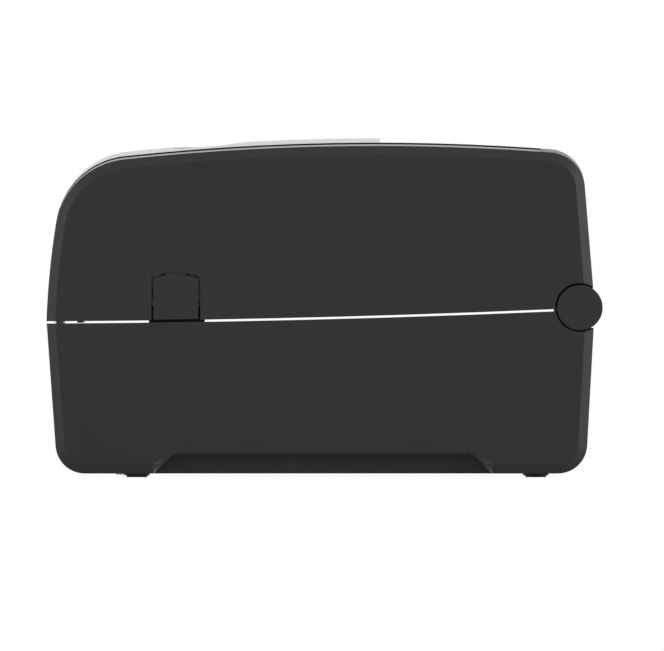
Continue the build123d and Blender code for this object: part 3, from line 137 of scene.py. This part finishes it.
class PrinterStage(bpy.types.PropertyGroup):
    """Camera and light."""

    view_width: bpy.props.FloatProperty(
        name="View width", description="Width that the picture covers at the side face",
        unit="LENGTH", min=0.1, max=1.0, default=0.3383)
    view_y: bpy.props.FloatProperty(
        name="View depth", description="Depth at the middle of the picture",
        unit="LENGTH", default=0.0038)
    view_z: bpy.props.FloatProperty(
        name="View height", description="Height at the middle of the picture",
        unit="LENGTH", default=0.0774)
    lens: bpy.props.FloatProperty(
        name="Lens", description="Focal length in millimetres, long for a level flat view",
        min=50.0, max=8000.0, default=1600.0)
    key: bpy.props.FloatProperty(
        name="Side light", description="Power of the front light; the rear one has more, in watts",
        min=0.0, max=200.0, default=15.0)
    top: bpy.props.FloatProperty(
        name="Top light", description="Power of the overhead light, in watts",
        min=0.0, max=200.0, default=1.0)
    sky: bpy.props.FloatProperty(
        name="Sky", description="Strength of the even light from all round",
        min=0.0, max=2.0, default=0.68)


def new_material(name):
    """Node material with its tree and its principled shader."""
    mat = bpy.data.materials.new(name)
    mat.use_nodes = True
    return mat, mat.node_tree, mat.node_tree.nodes["Principled BSDF"]


def plain(tree, kind, **values):
    """Node of a kind with some of its inputs set by name."""
    node = tree.nodes.new(kind)
    for key, value in values.items():
        node.inputs[key.replace("_", " ")].default_value = value
    return node


def placed(tree, stretch=EVEN, turn=(0.0, 0.0, 0.0)):
    """Object coordinates, stretched and turned."""
    coords = tree.nodes.new("ShaderNodeTexCoord")
    mapping = plain(tree, "ShaderNodeMapping", Scale=stretch, Rotation=turn)
    tree.links.new(coords.outputs["Object"], mapping.inputs["Vector"])
    return mapping.outputs["Vector"]


def noise(tree, scale, detail=2.0, stretch=EVEN):
    """Noise value on object coordinates."""
    node = plain(tree, "ShaderNodeTexNoise", Scale=scale, Detail=detail)
    tree.links.new(placed(tree, stretch), node.inputs["Vector"])
    return node.outputs["Fac"]


def spread(tree, value, low, high, start=0.3, stop=0.7):
    """Value between two numbers, as another runs from start to stop."""
    node = tree.nodes.new("ShaderNodeMapRange")
    for key, number in (("From Min", start), ("From Max", stop),
                        ("To Min", low), ("To Max", high)):
        node.inputs[key].default_value = number
    tree.links.new(value, node.inputs["Value"])
    return node.outputs["Result"]


def mix_node(tree):
    """Colour mix node with its two colour inputs and its colour output."""
    node = tree.nodes.new("ShaderNodeMix")
    node.data_type = "RGBA"
    colours = [socket for socket in node.inputs if socket.type == "RGBA"]
    result = [socket for socket in node.outputs if socket.type == "RGBA"][0]
    return node, colours, result


def tint(tree, value, first, second):
    """Colour between two colours by a value."""
    node, colours, result = mix_node(tree)
    colours[0].default_value = (*first, 1.0)
    colours[1].default_value = (*second, 1.0)
    tree.links.new(value, node.inputs["Factor"])
    return result


def shade(colour, factor):
    """Colour made darker or lighter."""
    return tuple(min(1.0, part * factor) for part in colour)


def relief(tree, shader, height, distance, edge=0.0):
    """Bump from a height, over edges rounded by a radius."""
    bump = plain(tree, "ShaderNodeBump", Strength=1.0, Distance=distance)
    tree.links.new(height, bump.inputs["Height"])
    if edge > 0:
        bevel = plain(tree, "ShaderNodeBevel", Radius=edge)
        bevel.samples = 4
        tree.links.new(bevel.outputs["Normal"], bump.inputs["Normal"])
    tree.links.new(bump.outputs["Normal"], shader.inputs["Normal"])


def moulded(name, colour, rough, grain, depth=0.000012, vary=0.05, edge=0.0, metal=0.0,
            shine=0.5):
    """Moulded plastic: fine grain, slow drift of colour, a little uneven gloss."""
    mat, tree, shader = new_material(name)
    drift = noise(tree, 16.0, 3.0)
    blend = tint(tree, spread(tree, drift, 0.0, 1.0), shade(colour, 1 - vary),
                 shade(colour, 1 + vary))
    tree.links.new(blend, shader.inputs["Base Color"])
    fine = noise(tree, 1 / grain, 2.0)
    tree.links.new(spread(tree, fine, rough - 0.05, rough + 0.05), shader.inputs["Roughness"])
    shader.inputs["Metallic"].default_value = metal
    shader.inputs["Specular IOR Level"].default_value = shine
    relief(tree, shader, fine, depth, edge)
    return mat


def brushed(name, colour, rough, along=(0.04, 1.0, 1.0), lines=2600.0, vary=0.12, edge=0.0002):
    """Metal with fine lines along one direction."""
    mat, tree, shader = new_material(name)
    streak = noise(tree, lines, 2.0, along)
    cloud = noise(tree, 35.0, 3.0)
    blend = tint(tree, spread(tree, cloud, 0.0, 1.0), shade(colour, 1 - vary),
                 shade(colour, 1 + vary / 2))
    tree.links.new(blend, shader.inputs["Base Color"])
    tree.links.new(spread(tree, streak, rough - 0.08, rough + 0.10), shader.inputs["Roughness"])
    shader.inputs["Metallic"].default_value = 1.0
    relief(tree, shader, streak, 0.000004, edge)
    return mat


def rubber(name, colour, lines):
    """Ground rubber: very fine rings round X and a dull dusty surface."""
    mat, tree, shader = new_material(name)
    dust = noise(tree, 120.0, 4.0)
    blend = tint(tree, spread(tree, dust, 0.0, 1.0), shade(colour, 0.75), shade(colour, 1.5))
    tree.links.new(blend, shader.inputs["Base Color"])
    tree.links.new(spread(tree, dust, 0.72, 0.88), shader.inputs["Roughness"])
    rings = noise(tree, lines, 2.0, (1.0, 0.08, 0.08))
    relief(tree, shader, rings, 0.00002)
    return mat


def circuit(name, colour):
    """Circuit board: green mask over right-angled tracks and small plated holes."""
    mat, tree, shader = new_material(name)
    tracks = tree.nodes.new("ShaderNodeTexBrick")
    for key, number in (("Scale", 260.0), ("Mortar Size", 0.05), ("Brick Width", 1.4),
                        ("Row Height", 0.3)):
        tracks.inputs[key].default_value = number
    tree.links.new(placed(tree, turn=(0.0, math.pi / 2, 0.0)), tracks.inputs["Vector"])
    holes = plain(tree, "ShaderNodeTexVoronoi", Scale=210.0)
    tree.links.new(placed(tree), holes.inputs["Vector"])
    lines = tint(tree, tracks.outputs["Fac"], colour, shade(colour, 1.9))
    ring = spread(tree, holes.outputs["Distance"], 1.0, 0.0, 0.10, 0.14)
    node, colours, result = mix_node(tree)
    colours[1].default_value = (0.55, 0.42, 0.18, 1.0)
    tree.links.new(lines, colours[0])
    tree.links.new(ring, node.inputs["Factor"])
    tree.links.new(result, shader.inputs["Base Color"])
    shader.inputs["Roughness"].default_value = 0.32
    relief(tree, shader, tracks.outputs["Fac"], 0.00003)
    return mat


def smoked(name, colour):
    """Smoked clear plastic with faint scuffs."""
    mat, tree, shader = new_material(name)
    scuff = noise(tree, 300.0, 5.0, (1.0, 0.2, 1.0))
    tree.links.new(spread(tree, scuff, 0.04, 0.11), shader.inputs["Roughness"])
    shader.inputs["Base Color"].default_value = (*colour, 1.0)
    shader.inputs["Transmission Weight"].default_value = 0.85
    shader.inputs["IOR"].default_value = 1.49
    relief(tree, shader, noise(tree, 40.0, 2.0), 0.00001)
    return mat


def lens_plastic(name, colour):
    """Clear lens with a frosted inside."""
    mat, tree, shader = new_material(name)
    frost = noise(tree, 900.0, 3.0)
    tree.links.new(spread(tree, frost, 0.12, 0.35), shader.inputs["Roughness"])
    shader.inputs["Base Color"].default_value = (*colour, 1.0)
    shader.inputs["Transmission Weight"].default_value = 0.6
    relief(tree, shader, frost, 0.000006)
    return mat


def slot_materials(finish):
    """Finish of each material slot in the record."""
    grain = finish.grain
    edge = finish.edge_radius
    fine = 0.6 * grain
    case = tuple(finish.case_colour)
    return {
        "charcoal_case": moulded("Charcoal plastic", case, 0.50, grain, edge=edge, shine=0.2),
        "dark_frame": moulded("Lid frame plastic", tuple(finish.frame_colour), 0.46, grain,
                              edge=edge, shine=0.2),
        # One pale plastic in two copies: the lighter cover is painted light from above, the darker
        # silver of trim and tail cap is painted shade; the trim's slight metal is its own finish.
        "pale_cover": moulded("Cover plastic", tuple(finish.cover_lit_colour), 0.42, fine,
                              0.000006, 0.02, 2.5 * edge, shine=0.35),
        "silver_plastic": moulded("Silver paint", tuple(finish.trim_shaded_colour), 0.42, fine,
                                  0.000004, 0.03, edge, metal=0.1),
        "tinted_window": smoked("Smoked window", (0.16, 0.17, 0.18)),
        "liner_plastic": moulded("Liner plastic", (0.050, 0.050, 0.052), 0.58, grain, 0.00002,
                                 edge=edge, shine=0.3),
        "holder_plastic": moulded("Holder plastic", (0.09, 0.20, 0.40), 0.44, grain, edge=edge),
        "hub_plastic": moulded("Hub plastic", (0.30, 0.30, 0.31), 0.40, fine, edge=edge),
        "gear_plastic": moulded("Gear plastic", (0.70, 0.68, 0.62), 0.36, fine, 0.000005, 0.03,
                                0.0001),
        "platen_rubber": rubber("Platen rubber", (0.028, 0.028, 0.030), 2400.0),
        "foot_rubber": rubber("Foot rubber", (0.018, 0.018, 0.018), 900.0),
        "bright_steel": brushed("Bright steel", (0.60, 0.60, 0.61), 0.24),
        "sheet_steel": brushed("Plated sheet", (0.48, 0.49, 0.51), 0.38, (1.0, 0.05, 1.0), 1500.0),
        "sink_metal": brushed("Sink aluminium", (0.66, 0.66, 0.67), 0.34, (0.03, 1.0, 1.0),
                              1900.0),
        "head_ceramic": moulded("Head ceramic", (0.24, 0.22, 0.19), 0.22, fine, 0.000003, 0.06),
        "board_green": circuit("Circuit board", (0.012, 0.10, 0.045)),
        "socket_shell": brushed("Tin shell", (0.36, 0.36, 0.37), 0.42, (1.0, 0.06, 1.0), 1700.0),
        "black_plastic": moulded("Black plastic", (0.016, 0.016, 0.017), 0.40, grain, edge=0.0002),
        "button_grey": moulded("Button plastic", (0.19, 0.20, 0.21), 0.36, fine, 0.000006, 0.03,
                               edge),
        "lens_clear": lens_plastic("Lens plastic", (0.35, 0.75, 0.40)),
    }


def finish_of(slot_name):
    """Material that the CAD nodes of a slot wear."""
    node = next(node for node, name in RECORD_SLOTS.items() if name == slot_name)
    return frame["nodes"][node].material_slots[0].material


def skin(points, wrap, capped=True):
    """Vertices and faces of a grid of points: rows follow the shape, columns go round it.

    The quads join each point to the next one in its row and in its column. With capped,
    one polygon closes each end. The faces are turned outwards by the sign of the volume.
    """
    rows, columns = points.shape[:2]
    last = columns if wrap else columns - 1
    row, column = np.meshgrid(np.arange(rows - 1), np.arange(last), indexing="ij")
    after = (column + 1) % columns
    quads = np.stack([row * columns + column, row * columns + after,
                      (row + 1) * columns + after, (row + 1) * columns + column], axis=-1)
    quads = quads.reshape(-1, 4)
    flat = points.reshape(-1, 3)
    a, b, c, d = (flat[quads[:, k]] for k in range(4))
    middle = flat.mean(axis=0)
    volume = np.einsum("ij,ij->", a - middle, np.cross(b - middle, c - middle))
    volume += np.einsum("ij,ij->", a - middle, np.cross(c - middle, d - middle))
    faces = quads.tolist()
    if capped:
        first = np.arange(columns)
        faces += [first[::-1].tolist(), (first + (rows - 1) * columns).tolist()]
    if volume < 0:
        faces = [face[::-1] for face in faces]
    return flat, faces


def piece(name, skins, slot_name, body, smooth=True):
    """One object from several skins, finished and riding on a body."""
    corners = np.concatenate([flat for flat, faces in skins])
    faces = []
    start = 0
    for flat, group in skins:
        faces += [[start + index for index in face] for face in group]
        start += len(flat)
    mesh = bpy.data.meshes.new(name)
    mesh.from_pydata(corners.tolist(), [], faces)
    mesh.polygons.foreach_set("use_smooth", [smooth] * len(faces))
    mesh.validate()
    mesh.update()
    obj = bpy.data.objects.new(name, mesh)
    bpy.context.scene.collection.objects.link(obj)
    obj.data.materials.append(finish_of(slot_name))
    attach(obj, body)
    return obj


def tube(path, radius, sides=10):
    """Round tube along a path.

    Each point is the path point plus the radius times the cosine along the side
    direction and the sine along the upper one, where both are square to the path.
    """
    ahead = np.gradient(path, axis=0)
    ahead /= np.linalg.norm(ahead, axis=1, keepdims=True)
    guide = np.where(np.abs(ahead[:, 2:3]) < 0.9, [[0.0, 0.0, 1.0]], [[1.0, 0.0, 0.0]])
    side = np.cross(ahead, guide)
    side /= np.linalg.norm(side, axis=1, keepdims=True)
    upper = np.cross(side, ahead)
    turn = np.linspace(0.0, math.tau, sides, endpoint=False)[None, :, None]
    ring = np.cos(turn) * side[:, None, :] + np.sin(turn) * upper[:, None, :]
    return skin(path[:, None, :] + radius * ring, True)


def lathe(profile, centre, axis, sides=40):
    """Surface turned round an axis: each profile point is a radius and a way along it."""
    turn = np.linspace(0.0, math.tau, sides, endpoint=False)[None, :]
    radius = profile[:, 0][:, None]
    along = np.broadcast_to(profile[:, 1][:, None], (len(profile), sides))
    first = radius * np.cos(turn)
    second = radius * np.sin(turn)
    order = {"x": (along, first, second), "y": (second, along, first),
             "z": (first, second, along)}
    return skin(np.stack(order[axis], axis=-1) + np.asarray(centre), True)


def block(low, high, round_over=0.0):
    """Bar along Y with a rounded rectangle as its section.

    A section point runs round a superellipse, of power 8 with a rounding and of power 25
    without. The first and last sections are drawn in by the rounding.
    """
    low = np.asarray(low)
    high = np.asarray(high)
    middle = (low + high) / 2
    half = (high - low) / 2
    sides = 32
    turn = np.linspace(0.0, math.tau, sides, endpoint=False) + math.pi / sides
    power = 8 if round_over > 0 else 25
    x = np.sign(np.cos(turn)) * np.abs(np.cos(turn)) ** (2 / power)
    z = np.sign(np.sin(turn)) * np.abs(np.sin(turn)) ** (2 / power)
    size = np.stack([x * half[0], 0 * x, z * half[2]], axis=-1)
    inset = 1.0 - round_over / min(half[0], half[2])
    rows = []
    for y, share in ((-half[1], inset), (-half[1] + round_over, 1.0), (half[1] - round_over, 1.0),
                     (half[1], inset)):
        rows.append(middle + size * share + np.array([0.0, y, 0.0]))
    return skin(np.stack(rows), True)


def settings(context, name):
    """One of the scene's groups of sizes and colours."""
    return getattr(context.scene, "printer_" + name)


class PRINTER_OT_finish(bpy.types.Operator):
    """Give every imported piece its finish"""

    bl_idname = "printer.finish"
    bl_label = "Finishes"

    def execute(self, context):
        finishes = slot_materials(settings(context, "finish"))
        for name, obj in frame["nodes"].items():
            mat = finishes[RECORD_SLOTS[name]]
            if not obj.material_slots:
                obj.data.materials.append(mat)
            for place in obj.material_slots:
                place.material = mat
        return {"FINISHED"}


class PRINTER_OT_springs(bpy.types.Operator):
    """Coil the two springs that press the print head down"""

    bl_idname = "printer.springs"
    bl_label = "Head springs"

    def execute(self, context):
        sizes = settings(context, "pieces")
        low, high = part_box("head_springs")
        wire = sizes.spring_wire / 2
        gap = 0.04 * MM
        radius = (high.y - low.y) / 2 - wire
        closed = 0.12
        even = 0.10
        share = np.linspace(0.0, 1.0, sizes.spring_turns * TURN_STEPS + 1)
        turn = share * sizes.spring_turns * math.tau
        rise = np.clip((share - closed) / (1.0 - 2 * closed), 0.0, 1.0)
        rise = even * share + (1.0 - even) * rise
        coils = []
        for x in (low.x + radius + wire, high.x - radius - wire):
            path = np.stack([x + radius * np.cos(turn),
                             (low.y + high.y) / 2 + radius * np.sin(turn),
                             low.z + gap + wire + rise * (high.z - low.z - gap - 2 * wire)], axis=-1)
            coils.append(tube(path, wire, 8))
        coil = piece("head_spring_coils", coils, "bright_steel", "lid")
        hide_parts("head_springs")
        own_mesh(coil)
        return {"FINISHED"}


class PRINTER_OT_screws(bpy.types.Operator):
    """Make the bottom plate's screws with their cross recesses"""

    bl_idname = "printer.screws"
    bl_label = "Base screws"

    def execute(self, context):
        sizes = settings(context, "pieces")
        low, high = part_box("base_screws")
        head = 2.8 * MM
        shank = 1.5 * MM
        thick = 1.1 * MM
        turn = np.linspace(0.0, math.tau, 96, endpoint=False)[None, :]
        out = np.linspace(0.02, 1.0, TURN_STEPS)[:, None] * head
        dome = 0.45 * thick
        arm_half = 0.28 * MM
        arm_long = 1.4 * MM
        arm_slope = 0.18 * MM
        end_slope = 0.3 * MM
        crown = dome * (out / head) ** 4
        across_x = out * np.cos(turn)
        across_y = out * np.sin(turn)
        arm = np.minimum(np.abs(across_x), np.abs(across_y))
        reach = np.maximum(np.abs(across_x), np.abs(across_y))
        slot_share = 1 - np.clip((arm - arm_half) / arm_slope, 0.0, 1.0)
        slot_share = slot_share * (1 - np.clip((reach - arm_long) / end_slope, 0.0, 1.0))
        face = low.z + crown + sizes.recess_depth * slot_share
        side = np.array([[head, thick], [shank, thick], [shank, high.z - low.z]])
        ring = np.ones_like(turn)
        screws = []
        for x in (low.x + head, high.x - head):
            for y in (low.y + head, high.y - head):
                rows = np.stack([x + across_x, y + across_y, face], axis=-1)
                more = np.stack([x + side[:, :1] * np.cos(turn), y + side[:, :1] * np.sin(turn),
                                 low.z + side[:, 1:] * ring], axis=-1)
                screws.append(skin(np.concatenate([rows, more]), True))
        made = piece("base_screw_heads", screws, "bright_steel", "base")
        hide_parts("base_screws")
        return {"FINISHED"}


class PRINTER_OT_marks(bpy.types.Operator):
    """Lay the width marks on the label deck"""

    bl_idname = "printer.marks"
    bl_label = "Width marks"

    def execute(self, context):
        sizes = settings(context, "pieces")
        low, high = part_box("label_deck")
        clear = 8 * MM
        inset = 2 * MM
        sunk = 0.04 * MM
        proud = 0.06 * MM
        count = int(((high.x - low.x) / 2 - clear) / sizes.tick_pitch)
        marks = []
        for step in range(-count, count + 1):
            length = (6.0 if step % 2 == 0 else 3.5) * MM
            y = np.linspace(low.y + inset, low.y + inset + length, 6)
            top = deck_top(y) + proud
            under = top - proud - sunk
            half = sizes.tick_line / 2
            x = step * sizes.tick_pitch
            ring = np.stack([
                np.stack([np.full_like(y, x - half), y, under], axis=-1),
                np.stack([np.full_like(y, x + half), y, under], axis=-1),
                np.stack([np.full_like(y, x + half), y, top], axis=-1),
                np.stack([np.full_like(y, x - half), y, top], axis=-1)], axis=1)
            marks.append(skin(ring, True))
        piece("deck_width_marks", marks, "pale_cover", "base", smooth=False)
        return {"FINISHED"}


class PRINTER_OT_contacts(bpy.types.Operator):
    """Fit the tongue, wires and contact holes inside the rear sockets"""

    bl_idname = "printer.contacts"
    bl_label = "Socket contacts"

    def execute(self, context):
        usb_tongue, usb_strips = usb_inside(*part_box("usb_socket"))
        piece("usb_tongue", usb_tongue, "black_plastic", "base")
        strips = usb_strips + network_wires(*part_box("network_socket"))
        piece("socket_contacts", strips, "bright_steel", "base")
        piece("serial_contacts", serial_holes(*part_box("serial_socket")), "black_plastic", "base")
        return {"FINISHED"}


class PRINTER_OT_stage(bpy.types.Operator):
    """Set the floor, the lights and the camera"""

    bl_idname = "printer.stage"
    bl_label = "Stage"

    def execute(self, context):
        sizes = settings(context, "stage")
        floor = bpy.data.meshes.new("floor")
        half = 3.0
        corners = [(-half, -half, 0), (half, -half, 0), (half, half, 0), (-half, half, 0)]
        floor.from_pydata(corners, [], [(0, 1, 2, 3)])
        ground = bpy.data.objects.new("floor", floor)
        bpy.context.scene.collection.objects.link(ground)
        ground.data.materials.append(floor_material())
        light_world(sizes.sky)
        side = CAD_BOX[1][0]
        aim = (0.0, sizes.view_y, sizes.view_z)
        rear_share = 1.9
        width = 1.4
        area_light("Front light", (0.45, -1.7, 0.35), aim, width, sizes.key)
        area_light("Rear light", (0.36, 1.7, 0.30), aim, width, rear_share * sizes.key)
        area_light("Overhead light", (0.2, -0.2, 1.7), aim, width, sizes.top)
        camera = bpy.data.cameras.new("Camera")
        camera.type = "PERSP"
        camera.lens = sizes.lens
        camera.sensor_width = 36.0
        camera.clip_start = 1.0
        camera.clip_end = 100.0
        eye = bpy.data.objects.new("Camera", camera)
        distance = sizes.view_width * sizes.lens / camera.sensor_width
        eye.location = (side + distance, sizes.view_y, sizes.view_z)
        eye.rotation_euler = (math.pi / 2, 0.0, math.pi / 2)
        context.scene.collection.objects.link(eye)
        context.scene.camera = eye
        context.scene.view_settings.view_transform = "Standard"
        return {"FINISHED"}


def deck_top(y):
    """Height of the label deck: a parabola in depth, 8 mm under the split's middle line."""
    step = y - DECK_MIDDLE_Y
    return DECK_MIDDLE_Z + DECK_SLOPE * step + DECK_BEND * step ** 2 / 2


def usb_inside(low, high):
    """Tongue of the USB socket and the four strips on it."""
    x = (low.x + high.x) / 2
    z = (low.z + high.z) / 2
    back = high.y - 12 * MM
    front = high.y - 2.2 * MM
    tongue_half = 2.8 * MM
    tongue_thick = 1.6 * MM
    strip_half = 0.5 * MM
    strip_thick = 0.1 * MM
    strip_place = 1.25 * MM
    strip_front = front - 1.0 * MM
    tongue = [block((x - tongue_half, back, z - tongue_thick),
                    (x + tongue_half, front, z + tongue_thick), 0.4 * MM)]
    strips = []
    for side in (-tongue_thick, tongue_thick):
        for place in (-strip_place, strip_place):
            strips.append(block(
                (x + place - strip_half, back, z + side - strip_thick),
                (x + place + strip_half, strip_front, z + side + strip_thick)))
    return tongue, strips


def network_wires(low, high):
    """Eight sprung wires that slope down into the network socket's mouth."""
    x = (low.x + high.x) / 2
    number = 8
    pitch = 1.02 * MM
    wire = 0.22 * MM
    front = high.y - 2.5 * MM
    length = 8.5 * MM
    bottom = low.z + 1.5 * MM
    climb = 4.5 * MM
    straight = 0.15
    share = np.linspace(0.0, 1.0, 12)
    drop = np.clip((share - straight) / (1.0 - straight), 0.0, 1.0)
    y = front - length * share
    z = bottom + climb * drop
    wires = []
    for step in range(number):
        place = x + (step - (number - 1) / 2) * pitch
        path = np.stack([np.full_like(y, place), y, z], axis=-1)
        wires.append(tube(path, wire, 8))
    return wires


def serial_holes(low, high):
    """Rimmed contact holes of the serial socket, in columns of five and four."""
    x = (low.x + high.x) / 2
    z = (low.z + high.z) / 2
    pitch = 2.77
    profile = np.array([[0.05, -0.2], [0.62, -0.2], [0.62, 0.04], [0.42, 0.06],
                        [0.36, -0.1], [0.05, -0.1]]) * MM
    rings = []
    for column, number in ((-1.4 * MM, 5), (1.4 * MM, 4)):
        for step in range(number):
            up = (step - (number - 1) / 2) * pitch
            rings.append(lathe(profile, (x + column, high.y, z + up * MM), "y", TURN_STEPS))
    return rings


def seen_rays(tree):
    """One for rays from the camera, off a glossy face or through a clear one, else zero."""
    path = tree.nodes.new("ShaderNodeLightPath")
    first = tree.nodes.new("ShaderNodeMath")
    first.operation = "MAXIMUM"
    second = tree.nodes.new("ShaderNodeMath")
    second.operation = "MAXIMUM"
    tree.links.new(path.outputs["Is Camera Ray"], first.inputs[0])
    tree.links.new(path.outputs["Is Glossy Ray"], first.inputs[1])
    tree.links.new(first.outputs["Value"], second.inputs[0])
    tree.links.new(path.outputs["Is Transmission Ray"], second.inputs[1])
    return second.outputs["Value"]


def floor_material():
    """Pale floor that looks white, with a trace of the object's shadow left on it."""
    grey = 0.5
    glow_strength = 1.06
    glow_share = 0.9
    mat, tree, shader = new_material("Pale floor")
    shader.inputs["Base Color"].default_value = (grey, grey, grey, 1.0)
    shader.inputs["Roughness"].default_value = 0.9
    shader.inputs["Specular IOR Level"].default_value = 0.0
    glow = plain(tree, "ShaderNodeEmission", Color=WHITE, Strength=glow_strength)
    white = tree.nodes.new("ShaderNodeMixShader")
    share = tree.nodes.new("ShaderNodeMath")
    share.operation = "MULTIPLY"
    share.inputs[1].default_value = glow_share
    tree.links.new(seen_rays(tree), share.inputs[0])
    tree.links.new(share.outputs["Value"], white.inputs["Fac"])
    tree.links.new(shader.outputs["BSDF"], white.inputs[1])
    tree.links.new(glow.outputs["Emission"], white.inputs[2])
    tree.links.new(white.outputs["Shader"], tree.nodes["Material Output"].inputs["Surface"])
    return mat


def light_world(strength):
    """Even light from all round, which looks white to the camera and in reflections."""
    world = bpy.data.worlds.new("Studio")
    bpy.context.scene.world = world
    world.use_nodes = True
    tree = world.node_tree
    tree.nodes.clear()
    soft = plain(tree, "ShaderNodeBackground", Color=WHITE, Strength=strength)
    white = plain(tree, "ShaderNodeBackground", Color=WHITE, Strength=1.0)
    mixed = tree.nodes.new("ShaderNodeMixShader")
    output = tree.nodes.new("ShaderNodeOutputWorld")
    tree.links.new(seen_rays(tree), mixed.inputs["Fac"])
    tree.links.new(soft.outputs["Background"], mixed.inputs[1])
    tree.links.new(white.outputs["Background"], mixed.inputs[2])
    tree.links.new(mixed.outputs["Shader"], output.inputs["Surface"])


def area_light(name, place, aim, size, power):
    """Square soft light that faces a point."""
    light = bpy.data.lights.new(name, "AREA")
    light.size = size
    light.energy = power
    lamp = bpy.data.objects.new(name, light)
    lamp.location = place
    toward = np.asarray(aim) - np.asarray(place)
    flat = math.hypot(toward[0], toward[1])
    lamp.rotation_euler = (math.atan2(flat, -toward[2]), 0.0,
                           math.atan2(toward[1], toward[0]) - math.pi / 2)
    bpy.context.scene.collection.objects.link(lamp)


class PRINTER_PT_panel(bpy.types.Panel):
    """Sizes, colours and steps of the printer"""

    bl_idname = "PRINTER_PT_panel"
    bl_label = "Label printer"
    bl_space_type = "VIEW_3D"
    bl_region_type = "UI"
    bl_category = "Printer"

    def draw(self, context):
        for name, group in GROUPS.items():
            box = self.layout.box()
            box.label(text=name.capitalize())
            for key in group.__annotations__:
                box.prop(settings(context, name), key)
        for step in STEPS:
            self.layout.operator(step.bl_idname)


GROUPS = {"finish": PrinterFinish, "pieces": PrinterPieces, "stage": PrinterStage}
STEPS = (PRINTER_OT_finish, PRINTER_OT_springs, PRINTER_OT_screws, PRINTER_OT_marks,
         PRINTER_OT_contacts, PRINTER_OT_stage)


def register():
    """Add the groups, the steps and the panel."""
    for name, group in GROUPS.items():
        bpy.utils.register_class(group)
        setattr(bpy.types.Scene, "printer_" + name, bpy.props.PointerProperty(type=group))
    for step in (*STEPS, PRINTER_PT_panel):
        bpy.utils.register_class(step)


def unregister():
    """Take the groups, the steps and the panel away."""
    for step in (PRINTER_PT_panel, *reversed(STEPS)):
        bpy.utils.unregister_class(step)
    for name, group in GROUPS.items():
        delattr(bpy.types.Scene, "printer_" + name)
        bpy.utils.unregister_class(group)


def main():
    """Register the add-on and run its steps in order."""
    register()
    bpy.ops.printer.finish()
    bpy.ops.printer.springs()
    bpy.ops.printer.screws()
    bpy.ops.printer.marks()
    bpy.ops.printer.contacts()
    bpy.ops.printer.stage()
    bpy.context.view_layer.update()


if __name__ == "__main__":
    main()
